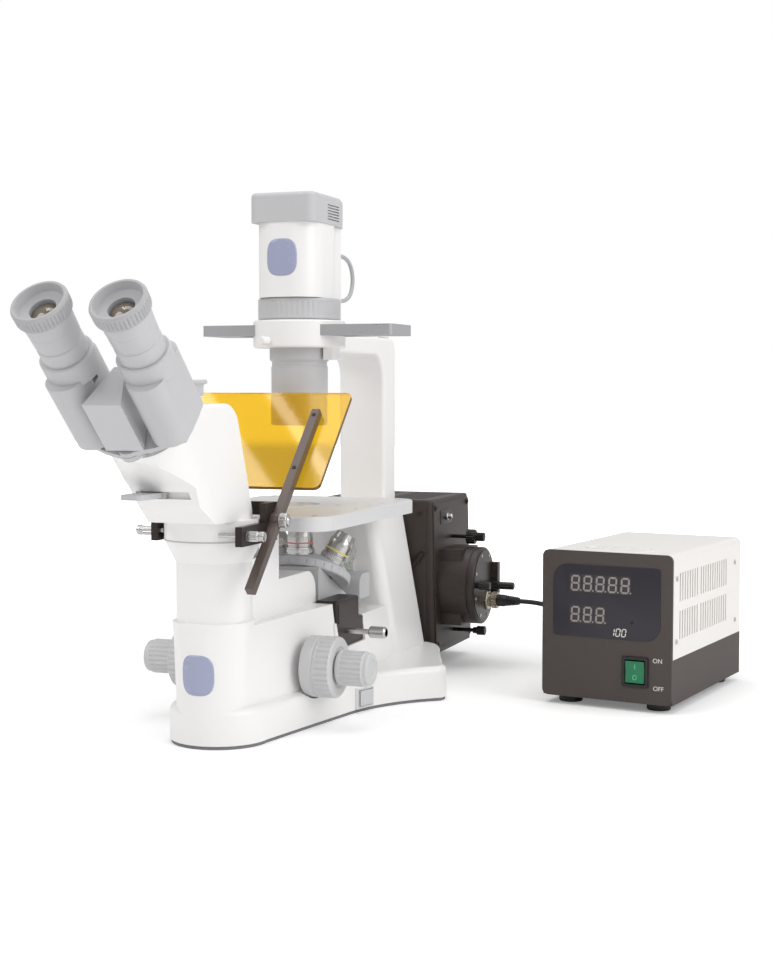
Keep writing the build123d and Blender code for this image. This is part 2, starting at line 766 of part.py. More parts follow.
with BuildPart() as illuminator_tube:
    turned(
        (0, 0, tube_z),
        back,
        [(7, block_half), (tube_radius, block_half), (tube_radius, 192.5), (24, 192.5), (24, house_front),
         (7, house_front)],
    )
illuminator_tube.part.label = "illuminator_tube"

# Arc lamp house: hollow, wider towards the bottom, cooling slots in the roof
with BuildPart() as lamp_house:
    house_middle = (house_front + house_rear) / 2
    house_deep = house_rear - house_front
    with BuildSketch(Plane.XY.offset(house_bottom)) as house_low:
        with Locations((0, house_middle)):
            RectangleRounded(2 * (house_half + house_flare), house_deep, 5)
    with BuildSketch(Plane.XY.offset(house_top)) as house_high:
        with Locations((0, house_middle)):
            RectangleRounded(2 * house_half, house_deep, 5)
    loft([house_low.sketch, house_high.sketch])
    fillet(lamp_house.faces().sort_by(Axis.Z)[-1].edges(), radius=3)
    block((-60, house_front + 5, house_bottom + 5), (60, house_rear - 5, house_top - 5), Mode.SUBTRACT)
    for slot in range(9):
        y = house_middle - 44 + 11 * slot
        for x in (-29, 29):
            with Locations((x, y, house_top)):
                Box(44, 4, 20, mode=Mode.SUBTRACT)
    rod((0, 0, tube_z), back, 7.0, house_front - 1, house_front + 10, Mode.SUBTRACT)
    # Holes for the knob shafts that enter the lamp house
    rod((47.6, 0, 116), back, pin_radius + running, house_front - 1, house_front + 10, Mode.SUBTRACT)
    rod((0, 262, 137), right, 2 + running, 55, 72, Mode.SUBTRACT)
    rod((0, 262, 35.5), right, 2 + running, 55, 72, Mode.SUBTRACT)
lamp_house.part.label = "lamp_house"

with BuildPart() as arc_burner:
    turned(
        (0, house_middle, 0),
        up,
        [(0, 22), (16, 22), (16, 30), (7, 34), (7, 52), (3, 58), (5, 64), (7, 70), (5, 76), (3, 82),
         (6, 88), (6, 104), (0, 104)],
    )
arc_burner.part.label = "arc_burner"

# Round socket housing on the right side of the lamp house, with its end plate
with BuildPart() as socket_housing:
    turned(
        (0, socket_y, socket_z),
        right,
        [(0, 62), (socket_radius, 62), (socket_radius, 98), (socket_radius - 1, 98.6),
         (socket_radius - 1, 100), (socket_radius, 100.6), (socket_radius, socket_face - 1),
         (socket_radius - 1, socket_face), (0, socket_face)],
    )
    block((62, socket_y - 30, socket_z - 40), (90, socket_y + 30, socket_z + 40))
    block((socket_face - 1, 279, 74), (socket_face + 7, 288, 108))
    # Bores of the two centring knobs in the end plate
    rod((0, 220, 89.6), right, 2 + running, 95, 110, Mode.SUBTRACT)
    rod((0, 271.6, 84), right, 2 + running, 95, 110, Mode.SUBTRACT)
    add(lamp_house.part, mode=Mode.SUBTRACT)
socket_housing.part.label = "socket_housing"

# Turning knobs: name, place, direction, and outline of (radius, distance)
knob_outlines = {
    "collector_knob": (
        (47.6, 0, 116),
        (0, 1, 0),
        [(0, 193.5), (10.5, 193.5), (11.5, 194.5), (11.5, 198.6), (10.5, 199.6), (pin_radius, 199.6),
         (pin_radius, 206), (0, 206)],
    ),
    "top_knob": (
        (0, 262, 137),
        right,
        [(0, 62), (2, 62), (2, 84), (8, 84), (8, 93), (4.8, 93.5), (4.8, 103), (0, 103)],
    ),
    "long_knob": (
        (0, 271.6, 84),
        right,
        [(0, 96), (2, 96), (2, 106.3), (4.8, 106.3), (4.8, 117), (4.2, 117.5), (4.2, 133.5), (0, 133.5)],
    ),
    "short_knob": (
        (0, 220, 89.6),
        right,
        [(0, 96), (2, 96), (2, 106.3), (3.2, 106.3), (3.2, 110), (4.5, 110.5), (4.5, 122), (0, 122)],
    ),
    "low_knob": (
        (0, 262, 35.5),
        right,
        [(0, 62), (2, 62), (2, 90.5), (3.4, 91), (3.4, 95), (4.9, 95.5), (4.9, 104.3), (0, 104.3)],
    ),
}
knob_parts = []
for name, (origin, direction, outline) in knob_outlines.items():
    with BuildPart() as knob:
        turned(origin, direction, outline)
    knob.part.label = name
    knob_parts.append(knob.part)

# Cord from the socket housing to the power supply
plug_y = 260.3
plug_z = 69.5
supply_plane = Plane(
    origin=(supply_x, supply_y, 0),
    x_dir=(cos(radians(supply_turn)), sin(radians(supply_turn)), 0),
    z_dir=(0, 0, 1),
)


def on_supply(x, y, z):
    """Point given in the power supply's own directions."""
    turn_by = radians(supply_turn)
    return (
        supply_x + x * cos(turn_by) - y * sin(turn_by),
        supply_y + x * sin(turn_by) + y * cos(turn_by),
        z,
    )


socket_out = (-sin(radians(supply_turn)), cos(radians(supply_turn)), 0)
outlet = on_supply(95, supply_deep, 40)
supply_right = (cos(radians(supply_turn)), sin(radians(supply_turn)), 0)
supply_back = (-sin(radians(supply_turn)), cos(radians(supply_turn)), 0)
supply_face = Plane(
    origin=on_supply(supply_wide / 2, 0, (supply_foot + supply_top) / 2),
    x_dir=supply_right,
    z_dir=(sin(radians(supply_turn)), -cos(radians(supply_turn)), 0),
)
rocker_origin = on_supply(switch_across, -1.5, switch_rise)
with BuildPart() as cord_plugs:
    turned(
        (0, plug_y, plug_z),
        right,
        [(0, socket_face), (9.0, socket_face), (9.0, socket_face + 3), (7.5, socket_face + 3.4),
         (7.5, socket_face + 7), (9.0, socket_face + 7.4), (9.0, 119), (0, 119)],
    )
    turned(outlet, socket_out, [(0, 0), (9, 0), (9, 12), (7, 14), (6, 22), (4.2, 30), (0, 30)])
cord_plugs.part.label = "cord_plugs"

with BuildPart() as strain_relief:
    turned(
        (0, plug_y, plug_z),
        right,
        [(0, 119), (6.4, 119), (6.4, 126), (4.2, 143), (0, 143)],
    )
strain_relief.part.label = "strain_relief"

coil_middle = (303.0, 402.0, 0.0)
coil_radius = 27.5
coil_thick = 15.0


def cord_run(points):
    """Round cord along hand-picked points, each corner rounded to suit its shorter run."""
    vectors = [Vector(*point) for point in points]
    bends = []
    for before, here, after in zip(vectors, vectors[1:], vectors[2:]):
        into = here - before
        out = after - here
        turn_half = into.get_angle(out) * pi / 360
        bends.append(0.45 * min(into.length, out.length) / tan(turn_half))
    print("bend radii", [round(bend, 1) for bend in bends])
    with BuildPart() as run:
        with BuildLine() as path:
            FilletPolyline(*points, radius=bends)
        with BuildSketch(Plane(origin=path.line @ 0, z_dir=path.line % 0)) as section:
            Circle(cord_diameter / 2)
        sweep(section.sketch, path=path.line, transition=Transition.ROUND)
    length = path.wire().length
    share = run.part.volume / (pi * cord_diameter**2 / 4 * length)
    print("cord length", round(length, 1), "volume share", round(share, 4))
    return run.part


lamp_route = [
    (143.0, plug_y, plug_z),
    (166.0, plug_y, plug_z),
    (193.0, 270.0, 58.0),
    (212.0, 294.0, 40.0),
    (226.0, 320.0, 21.0),
    (241.0, 341.0, 10.0),
    (263.0, 359.9, 7.5),
    (278.8, 376.5, 7.5),
]
supply_route = [
    (327.5, 376.8, 7.5),
    (340.0, 363.9, 7.5),
    (350.0, 346.0, 17.0),
    (353.0, 332.0, 29.0),
    along(outlet, socket_out, 46.0),
    along(outlet, socket_out, 30.0),
]
with BuildPart() as lamp_cord:
    add(cord_run(lamp_route))
lamp_cord.part.label = "lamp_cord"
with BuildPart() as supply_cord:
    add(cord_run(supply_route))
supply_cord.part.label = "supply_cord"

with BuildPart() as cord_coil:
    with BuildSketch(axis_plane(coil_middle, up)) as coil_section:
        with Locations((coil_radius, coil_thick / 2)):
            RectangleRounded(15, coil_thick, 5)
    revolve(coil_section.sketch, axis=Axis(coil_middle, up))
cord_coil.part.label = "cord_coil"

lead_diameter = 4.0
lead_route = [
    (22, spine_rear, 424),
    (22, spine_rear + 25, 424),
    (22, spine_rear + 39, 403),
    (22, spine_rear + 25, 381),
    (22, spine_rear, 381),
]
with BuildPart() as lamp_lead:
    with BuildLine() as lead_path:
        FilletPolyline(
            *lead_route, radius=[20.0, 17.0, 20.0],
        )
    with BuildSketch(Plane(origin=lead_path.line @ 0, z_dir=lead_path.line % 0)) as lead_section:
        Circle(lead_diameter / 2)
    sweep(lead_section.sketch, path=lead_path.line, transition=Transition.ROUND)
lamp_lead.part.label = "lamp_lead"

# Viewing head: one outline from the side, with a round flange on the neck
face_origin = along(head_origin, eye_out, -0.5)
face_low = along(face_origin, eye_up, -5.5)[1:]
face_high = along(face_origin, eye_up, 53.0)[1:]
hub_plane = Plane(origin=head_origin, x_dir=(1, 0, 0), z_dir=eye_out)
head_half = 33.0
with BuildPart() as head_body:
    with BuildSketch(side_plane.offset(-head_half)) as head_side:
        with BuildLine():
            Line(face_high, (-222, 286))
            ThreePointArc((-222, 286), (-207.5, 281), (-199, 268))
            Polyline((-199, 268), (-177, 206), (-177, flange_top), (-240, flange_top), (-262, 205))
            Polyline((-262, 205), (-273, 221), face_low, face_high)
        make_face()
    extrude(head_side.sketch, amount=2 * head_half)
    with BuildSketch(hub_plane.offset(-145)) as front_outline:
        with Locations((0, 76)):
            RectangleRounded(2 * head_half, 160, 30)
    extrude(front_outline.sketch, amount=146, mode=Mode.INTERSECT)
    top_edges = head_body.edges().filter_by(
        lambda e: e.center().Z > 210 and e.center().Y > -270 and abs(e.center().X) > head_half - 1
    )
    fillet(top_edges, radius=4)
    turned(
        (0, neck_y, 0),
        up,
        [(0, neck_top), (32, neck_top), (flange_radius, 172), (flange_radius, flange_top), (0, flange_top)],
    )
    # Short tube of the photo port
    rod((0, -235, 0), up, 15.0, 280, 292)
    # Hub that carries the two prism housings
    rod(head_origin, eye_out, 9.0, -0.5, 0.7)
    rod(head_origin, eye_out, 4.0, -5, 12.0)
    slab(hub_plane, [(-16, -7), (16, -7), (5, 33), (-5, 33)], 11.5, 60)
    slab(hub_plane, [(-16, 2), (16, 2), (16, 20), (-16, 20)], -4, 0.7)
    # Slot of the light path lever
    block((-25, -300, 211), (22, -262, 217), Mode.SUBTRACT)
    rod((0, neck_y, 0), up, 12.0, 150, 195, Mode.SUBTRACT)
head_body.part.label = "head_body"


def wing(side, root_low, root_high):
    """Prism housing of one eye: a rounded block on a root plate that turns about the hub."""
    with BuildPart() as housing:
        with BuildSketch(hub_plane.offset(root_high + 2.0)) as outline:
            with Locations((side * (eye_side + 1.5), eye_rise)):
                RectangleRounded(30, 54, 13)
        extrude(outline.sketch, amount=70 - root_high - 2.0)
        with BuildSketch(hub_plane.offset(root_low)) as root:
            with BuildLine():
                Polyline(
                    (0, -8), (side * 22, -2), (side * 44, 8), (side * 44, 36), (side * 30, 48),
                    (side * 20, 44), (0, 9), close=True,
                )
            make_face()
            Circle(9.0)
            Circle(4.0 + running, mode=Mode.SUBTRACT)
        extrude(root.sketch, amount=root_high - root_low)
        with BuildSketch(hub_plane.offset(root_high)) as spacer:
            with Locations((side * (eye_side + 1.5), eye_rise)):
                RectangleRounded(28, 30, 6)
        extrude(spacer.sketch, amount=3.0)
        # Collar of the eyepiece tube
        centre = along(along(head_origin, right, side * eye_side), eye_up, eye_rise)
        turned(
            centre,
            eye_out,
            [(14, 66), (21, 66), (21, 83), (20, 84), (14, 84)],
        )
        rod(centre, eye_out, 14.0, 55, 90, Mode.SUBTRACT)
    return housing.part


left_part = wing(-1, 1.0, 5.0)
left_part.label = "left_wing"
right_part = wing(1, 5.5, 9.5)
right_part.label = "right_wing"

eye_parts = []
for name, side in (("left", -1), ("right", 1)):
    centre = along(along(head_origin, right, side * eye_side), eye_up, eye_rise)
    with BuildPart() as eyepiece:
        turned(
            centre,
            eye_out,
            [(10, 60), (14 - running, 60), (14 - running, 84), (18, 84), (18, 96), (17.2, 97), (17.2, 99),
             (18, 100), (19, 122), (10, 122), (10, 126), (0, 126), (0, 120), (8, 120), (8, 66), (10, 66)],
        )
    eyepiece.part.label = name + "_eyepiece"
    with BuildPart() as eyecup:
        turned(
            centre,
            eye_out,
            [(10.3, 122), (20.5, 122), (22, 124), (22, 133), (21, 135), (19, 135), (17, 129), (10.3, 127)],
        )
    eyecup.part.label = name + "_eyecup"
    eye_parts += [eyepiece.part, eyecup.part]

with BuildPart() as light_path_lever:
    block((-24, -268, 211.5), (0, -263.5, 216.5))
    with BuildSketch(Plane.XY.offset(212.0)) as tongue:
        with Locations((-12, -284)):
            RectangleRounded(20, 38, 6)
    extrude(tongue.sketch, amount=4.0)
light_path_lever.part.label = "light_path_lever"

with BuildPart() as port_cap:
    turned(
        (0, -235, 0),
        up,
        [(0, 292), (16, 292), (16, 301), (19, 302), (19, 304), (18, 305), (0, 305)],
    )
port_cap.part.label = "port_cap"

# Yoke of the shield, clamped on the flange of the head
with BuildPart() as shield_yoke:
    for side, front in ((1, -229), (-1, -203)):
        inner = min(side * yoke_inner, side * yoke_outer)
        block((inner, front, 171), (inner + 6, -160, 187))
        block((inner, -182, 180), (inner + 6, -160, 203))
    block((-yoke_outer, -166, 192), (yoke_outer, -160, 203))
    for side, y in ((1, -219), (-1, -197)):
        rod((0, y, screw_z), (side, 0, 0), 2 + running, 40, 50, Mode.SUBTRACT)
    rod((0, pivot_y, pivot_z), right, pin_radius, 45, 62)
shield_yoke.part.label = "shield_yoke"

screw_parts = []
for name, side, y, tip in (("right", 1, -219, 23.0), ("left", -1, -197, 39.3)):
    with BuildPart() as thumbscrew:
        turned(
            (0, y, screw_z),
            (side, 0, 0),
            [(0, tip), (2, tip), (2, yoke_outer + 0.3), (4.3, yoke_outer + 0.3), (4.3, 63.5), (0, 63.5)],
        )
    thumbscrew.part.label = name + "_thumbscrew"
    screw_parts.append(thumbscrew.part)

# Square rod of the shield, at half a right angle, with the plate screwed on it
rod_direction = (0, cos(rod_angle), sin(rod_angle))
plate_plane = Plane(
    origin=(0, pivot_y, pivot_z),
    x_dir=right,
    z_dir=(0, sin(rod_angle), -cos(rod_angle)),
)
with BuildPart() as shield_rod:
    with BuildSketch(Plane(origin=(rod_middle, pivot_y, pivot_z), x_dir=right, z_dir=rod_direction)) as section:
        Rectangle(rod_side, rod_side)
    extrude(section.sketch, amount=125)
    extrude(section.sketch, amount=-75)
    rod((0, pivot_y, pivot_z), right, 6.5, rod_middle - 3.7, rod_middle + 3.7)
    rod((0, pivot_y, pivot_z), right, pin_radius + running, 40, 70, Mode.SUBTRACT)
shield_rod.part.label = "shield_rod"

shield_offset = rod_side / 2
with BuildPart() as amber_shield:
    with BuildSketch(plate_plane.offset(shield_offset)) as plate:
        with Locations((0, -96)):
            RectangleRounded(2 * shield_half, 112, 6)
    extrude(plate.sketch, amount=shield_thick)
amber_shield.part.label = "amber_shield"

with BuildPart() as shield_knob:
    turned(
        (0, pivot_y, pivot_z),
        right,
        [(pin_radius + running, 56.1), (6.5, 56.1), (6.5, 61.5), (6, 62.5), (0, 64.5), (0, 62.1),
         (pin_radius + running, 62.1)],
    )
shield_knob.part.label = "shield_knob"

# Power supply: dark chassis, pale cover with louvres, front panel with the switch opening
switch_hole = [
    (switch_across + side * switch_half_wide, y)
    for side, y in ((-1, -8), (1, -8), (1, 8), (-1, 8))
]
with BuildPart() as supply_chassis:
    slab(
        supply_plane,
        [(0, 0), (supply_wide, 0), (supply_wide, supply_deep), (0, supply_deep)],
        supply_foot,
        supply_split,
    )
    slab(
        supply_plane,
        [(4, 6), (supply_wide - 4, 6), (supply_wide - 4, supply_deep - 4), (4, supply_deep - 4)],
        supply_foot + 4,
        supply_split + 1,
        Mode.SUBTRACT,
    )
    slab(supply_plane, switch_hole, switch_rise - switch_half_tall, switch_rise + switch_half_tall, Mode.SUBTRACT)
    # Rubber feet
    with BuildSketch() as feet_outline:
        with Locations(
            [
                on_supply(x, y, 0)
                for x in (foot_inset, supply_wide - foot_inset)
                for y in (foot_inset, supply_deep - foot_inset)
            ]
        ):
            Circle(10.0)
    extrude(feet_outline.sketch, amount=supply_foot)
supply_chassis.part.label = "supply_chassis"

with BuildPart() as supply_cover:
    slab(
        supply_plane,
        [(0, loose), (supply_wide, loose), (supply_wide, supply_deep), (0, supply_deep)],
        supply_split,
        supply_top,
    )
    long_edges = Axis(on_supply(0, 0, 0), supply_back)
    fillet(supply_cover.faces().sort_by(Axis.Z)[-1].edges().filter_by(long_edges), radius=supply_corner)
    slab(
        supply_plane,
        [(4, -3), (supply_wide - 4, -3), (supply_wide - 4, supply_deep - 4), (4, supply_deep - 4)],
        supply_split - 1,
        supply_top - 4,
        Mode.SUBTRACT,
    )
    # Louvres through both sides: two rows, each with a short and a long block of slots
    for row_low in (supply_split + 17, supply_split + 52):
        for first, slots in ((17, 8), (77, 12)):
            for slot in range(slots):
                y = first + louvre_pitch * slot
                slab(
                    supply_plane,
                    [(-2, y), (supply_wide + 2, y), (supply_wide + 2, y + louvre_wide), (-2, y + louvre_wide)],
                    row_low,
                    row_low + louvre_tall,
                    Mode.SUBTRACT,
                )
supply_cover.part.label = "supply_cover"

with BuildPart() as supply_panel:
    with BuildSketch(supply_face) as panel_outline:
        RectangleRounded(supply_wide, supply_top - supply_foot, supply_corner)
    extrude(panel_outline.sketch, amount=3)
    slab(
        supply_plane,
        [(4.3, 0), (supply_wide - 4.3, 0), (supply_wide - 4.3, 2), (4.3, 2)],
        supply_split + 0.3,
        supply_top - 4.3,
    )
    slab(supply_plane, switch_hole, switch_rise - switch_half_tall, switch_rise + switch_half_tall, Mode.SUBTRACT)
    rod(rocker_origin, supply_right, rocker_pin + running, -12, 12, Mode.SUBTRACT)
supply_panel.part.label = "supply_panel"

rocker_plane = Plane(
    origin=rocker_origin,
    x_dir=(0, 0, 1),
    z_dir=(cos(radians(supply_turn)), sin(radians(supply_turn)), 0),
)
with BuildPart() as supply_rocker:
    slab(rocker_plane, rocker(20, 6, 2.2), -9, 9)
    rod(rocker_origin, supply_right, rocker_pin, -11.5, 11.5)
supply_rocker.part.label = "supply_rocker"

with BuildPart() as base_rocker:
    slab(flank_plane, rocker(2 * rocker_half, 4.5, 2.2), -7, 7)
    rod(flank_origin, up, rocker_pin, -9, 9)
base_rocker.part.label = "base_rocker"

parts = [
    base_rim.part, bottom_plate.part, base_casting.part, fold_mirrors.part, pillar_arm.part,
    stage_plate.part, stage_insert.part, nosepiece_carriage.part, guide_rail.part, turret.part,
    objectives.part, coarse_sleeve.part, coarse_knobs.part, fine_knobs.part, fine_spindle.part,
    focus_rack.part, condenser_carriage.part, condenser_tube.part, phase_slider.part, field_ring.part,
    lamp_tower.part, lamp_cap.part, halogen_lamp.part, filter_block.part, filter_slide.part,
    illuminator_tube.part, lamp_house.part, arc_burner.part, socket_housing.part,
    cord_plugs.part, strain_relief.part, lamp_cord.part, supply_cord.part,
    cord_coil.part, lamp_lead.part, head_body.part, left_part, right_part, light_path_lever.part,
    port_cap.part, shield_yoke.part, shield_rod.part, amber_shield.part, shield_knob.part,
    supply_chassis.part, supply_cover.part, supply_panel.part, supply_rocker.part, base_rocker.part,
]
parts += knob_parts + eye_parts + screw_parts
for part in parts:
    export_step(part, "parts/" + part.label + ".step")
    print(part.label, round(part.volume), part.is_valid)
print(len(parts), "parts")
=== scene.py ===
# %% [markdown]
# # An inverted microscope with its fluorescence set
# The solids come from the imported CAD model, which is the fixed frame. This script dresses them:
# it gives every solid a finish, and adds the pieces that a solid cannot show well, such as
# ribbed rings, the display, screws and the cord. Every added piece rides on a body of the frame,
# so that it follows when that body's joint moves.

import bmesh
import bpy
import numpy as np
from math import cos, pi, radians, sin, sqrt
from mathutils import Matrix, Vector


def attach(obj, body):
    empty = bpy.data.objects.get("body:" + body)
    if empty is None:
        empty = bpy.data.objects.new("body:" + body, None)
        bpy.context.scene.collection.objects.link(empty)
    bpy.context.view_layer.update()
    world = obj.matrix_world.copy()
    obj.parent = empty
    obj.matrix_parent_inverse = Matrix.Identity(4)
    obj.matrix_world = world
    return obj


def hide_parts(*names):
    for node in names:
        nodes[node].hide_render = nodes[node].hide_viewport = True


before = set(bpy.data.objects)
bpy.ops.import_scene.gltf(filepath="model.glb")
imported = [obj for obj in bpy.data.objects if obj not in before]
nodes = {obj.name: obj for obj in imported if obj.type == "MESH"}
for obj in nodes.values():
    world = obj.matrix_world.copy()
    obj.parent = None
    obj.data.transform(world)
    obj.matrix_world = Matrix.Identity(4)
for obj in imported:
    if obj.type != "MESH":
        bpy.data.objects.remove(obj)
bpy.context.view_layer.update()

MM = 0.001
X = np.array([1.0, 0.0, 0.0])
Y = np.array([0.0, 1.0, 0.0])
Z = np.array([0.0, 0.0, 1.0])

# %% [markdown]
# ## The camera
# The photograph was taken from the right and a little above the stage. A camera could be aimed
# by eye, but its place and two angles were found by fitting, so that the vertical lines, the
# stage's outline and the supply's edges all meet the photograph. It does not roll.

# %% Camera
CAMERA_PLACE = (0.5966, -1.3852, 0.3014)
CAMERA_TURN = radians(20.2)
CAMERA_DIP = radians(3.43)
CAMERA_LENS = 60
camera_data = bpy.data.cameras.new("camera")
camera_data.lens = CAMERA_LENS
camera_data.sensor_width = 36
camera = bpy.data.objects.new("camera", camera_data)
camera.location = CAMERA_PLACE
camera.rotation_euler = (pi / 2 - CAMERA_DIP, 0, CAMERA_TURN)
bpy.context.scene.collection.objects.link(camera)
bpy.context.scene.camera = camera
bpy.context.scene.view_settings.view_transform = "Standard"
print("camera at", CAMERA_PLACE, "with a lens of", CAMERA_LENS, "mm")

# %% [markdown]
# ## Shader maths as plain expressions
# Nodes can be placed and linked one by one, but a long tree of them is hard to read. One small
# class wraps a socket instead, so that `noise * 0.2 + 1 - mask` adds the Math nodes by itself.
# Every other node comes from one method, `node`, and `set` fills the shader's own sockets.


# %% Sockets that can be added and multiplied
class Sock:
    """A socket that takes part in arithmetic."""

    def __init__(self, tree, socket):
        self.tree = tree
        self.socket = socket

    def math(self, operation, *others):
        """A Math node of this operation on this socket and the others."""
        values = {i: v for i, v in enumerate((self, *others))}
        return self.tree.node("ShaderNodeMath", {"operation": operation}, values)

    def __add__(self, other):
        return self.math("ADD", other)

    def __sub__(self, other):
        return self.math("SUBTRACT", other)

    def __mul__(self, other):
        return self.math("MULTIPLY", other)

    def __rsub__(self, other):
        return self.tree.number(other).math("SUBTRACT", self)

    __radd__ = __add__
    __rmul__ = __mul__

    def power(self, other):
        return self.math("POWER", other)

    def above(self, limit):
        return self.math("GREATER_THAN", limit)

    def clamp(self):
        """This value kept between 0 and 1."""
        return self.tree.node("ShaderNodeClamp", {}, {0: self})


class Finish:
    """A material with one Principled shader, and short ways to make its nodes."""

    def __init__(self, name):
        self.material = bpy.data.materials.new(name)
        self.material.use_nodes = True
        self.nodes = self.material.node_tree.nodes
        self.links = self.material.node_tree.links
        self.shader = self.nodes["Principled BSDF"]
        self.place = None

    def node(self, kind, settings, values, output=0):
        """One node: its settings first, then a value or a link for each named or numbered socket."""
        made = self.nodes.new(kind)
        for key, value in settings.items():
            setattr(made, key, value)
        for key, value in values.items():
            socket = made.inputs[key]
            if isinstance(value, Sock):
                self.links.new(value.socket, socket)
            elif isinstance(value, tuple) and len(value) == 3 and socket.type == "RGBA":
                socket.default_value = (*value, 1)
            else:
                socket.default_value = value
        return Sock(self, made.outputs[output])

    def number(self, value):
        """A constant that an expression starts from."""
        made = self.nodes.new("ShaderNodeValue")
        made.outputs[0].default_value = value
        return Sock(self, made.outputs[0])

    def where(self, stretch=(1, 1, 1), turn=(0, 0, 0)):
        """Object coordinates, stretched and turned."""
        if self.place is None:
            self.place = self.node("ShaderNodeTexCoord", {}, {}, "Object")
        values = {"Vector": self.place, "Scale": stretch, "Rotation": turn}
        return self.node("ShaderNodeMapping", {}, values)

    def axes(self):
        """The three object coordinates as values."""
        split = self.nodes.new("ShaderNodeSeparateXYZ")
        self.links.new(self.where().socket, split.inputs[0])
        return [Sock(self, out) for out in split.outputs]

    def noise(self, scale, detail=3.0, at=None):
        """Soft noise with this many features to the metre."""
        values = {"Vector": at or self.where(), "Scale": scale, "Detail": detail}
        return self.node("ShaderNodeTexNoise", {}, values)

    def blend(self, factor, first, second):
        """Colour between two colours."""
        return self.node("ShaderNodeMix", {"data_type": "RGBA"}, {0: factor, 6: first, 7: second}, 2)

    def bump(self, height, strength, distance):
        """Normal pushed about by a height."""
        values = {"Height": height, "Strength": strength, "Distance": distance}
        return self.node("ShaderNodeBump", {}, values)

    def set(self, **values):
        """Values or links for the shader's own sockets."""
        names = {
            "colour": "Base Color", "rough": "Roughness", "metal": "Metallic", "normal": "Normal",
            "coat": "Coat Weight", "coat_rough": "Coat Roughness", "through": "Transmission Weight",
            "ior": "IOR", "specular": "Specular IOR Level",
        }
        for key, value in values.items():
            socket = self.shader.inputs[names[key]]
            if isinstance(value, Sock):
                self.links.new(value.socket, socket)
            elif isinstance(value, tuple):
                socket.default_value = (*value, 1)
            else:
                socket.default_value = value
        return self.material


def linear(red, green, blue):
    """A colour as a picture shows it, 0 to 255, as the linear colour a shader wants."""
    picture = np.array([red, green, blue]) / 255
    straight = picture / 12.92
    curved = ((picture + 0.055) / 1.055) ** 2.4
    return tuple(float(c) for c in np.where(picture < 0.04045, straight, curved))


print("shader helpers ready")

# %% [markdown]
# ## Finishes
# The stand is enamelled in satin white with pale grey parts. The fluorescence set is black, and
# its lamp house has a fine wrinkle paint. A flat colour would look like plastic in every light,
# and a photographed texture would need an image and a mapping. So each recipe varies colour and
# roughness a little over the surface by noise, and pushes the normal at the scale of the finish.


# %% Painted and moulded finishes
def enamel(name, colour, rough=0.32, peel=0.12, coat=0.25):
    """Satin enamel: faint orange peel, slight colour drift and handling marks."""
    f = Finish(name)
    drift = f.noise(14, 2)
    peel_noise = f.noise(900, 2)
    smudge = f.noise(60, 4).above(0.62)
    darker = tuple(c * 0.965 for c in colour)
    f.set(
        colour=f.blend(drift, darker, colour),
        rough=peel_noise * 0.05 + smudge * 0.04 + (rough - 0.03),
        normal=f.bump(peel_noise, peel, 0.0002),
        coat=coat,
        coat_rough=0.2,
    )
    return f.material


def wrinkle(name, colour, grain=1500, depth=0.5, rough=0.55):
    """Wrinkle paint: fine cells that catch the light, with a slightly paler crest."""
    f = Finish(name)
    values = {"Vector": f.where(), "Scale": grain * 0.5, "Smoothness": 0.6}
    cells = f.node("ShaderNodeTexVoronoi", {"feature": "SMOOTH_F1"}, values)
    fine = f.noise(grain, 4)
    height = cells * 0.6 + fine * 0.6
    broad = f.noise(20, 3)
    pale = tuple(min(1.0, c * 1.35 + 0.006) for c in colour)
    f.set(
        colour=f.blend((height * 0.8 + broad * 0.35 - 0.3).clamp(), colour, pale),
        rough=fine * 0.15 + (rough - 0.07),
        normal=f.bump(height, depth, 0.0005),
    )
    return f.material


def moulding(name, colour, rough=0.42, grain=1200, depth=0.12):
    """Moulded plastic: a fine spark-eroded grain and a soft sheen."""
    f = Finish(name)
    grain_noise = f.noise(grain, 3)
    wear = f.noise(35, 4)
    darker = tuple(c * 0.93 for c in colour)
    f.set(
        colour=f.blend(wear, darker, colour),
        rough=grain_noise * 0.12 + wear * 0.06 + (rough - 0.09),
        normal=f.bump(grain_noise, depth, 0.0003),
    )
    return f.material


def rubber(name, colour, rough=0.7):
    """Rubber: dull, with a dusty bloom in patches."""
    f = Finish(name)
    bloom = f.noise(90, 5)
    fine = f.noise(2200, 2)
    dusty = tuple(min(1.0, c + 0.035) for c in colour)
    f.set(
        colour=f.blend(bloom.power(2.0), colour, dusty),
        rough=bloom * 0.15 + (rough - 0.08),
        normal=f.bump(fine, 0.15, 0.0002),
    )
    return f.material


print("paint, moulding and rubber ready")


# %% Metal finishes
def turned_metal(name, colour, rough=0.25, along=(1, 1, 1), lines=2500, metal=1.0):
    """Metal with fine tool marks: noise squeezed across the marks, so that it runs along them."""
    f = Finish(name)
    marks = f.noise(lines, 2, f.where(along))
    stain = f.noise(25, 3)
    darker = tuple(c * 0.86 for c in colour)
    f.set(
        colour=f.blend(marks * 0.5 + stain * 0.5, darker, colour),
        rough=marks * 0.14 + stain * 0.05 + (rough - 0.08),
        metal=metal,
        normal=f.bump(marks, 0.12, 0.0001),
    )
    return f.material


def anodised(name, colour, rough=0.33):
    """Anodised aluminium: dyed satin metal with a faint blasted grain."""
    f = Finish(name)
    grain = f.noise(3000, 2)
    stain = f.noise(30, 3)
    paler = tuple(min(1.0, c * 1.25 + 0.004) for c in colour)
    f.set(
        colour=f.blend(grain * 0.6 + stain * 0.4, colour, paler),
        rough=grain * 0.12 + (rough - 0.05),
        metal=0.35,
        normal=f.bump(grain, 0.1, 0.0001),
    )
    return f.material


print("metals ready")


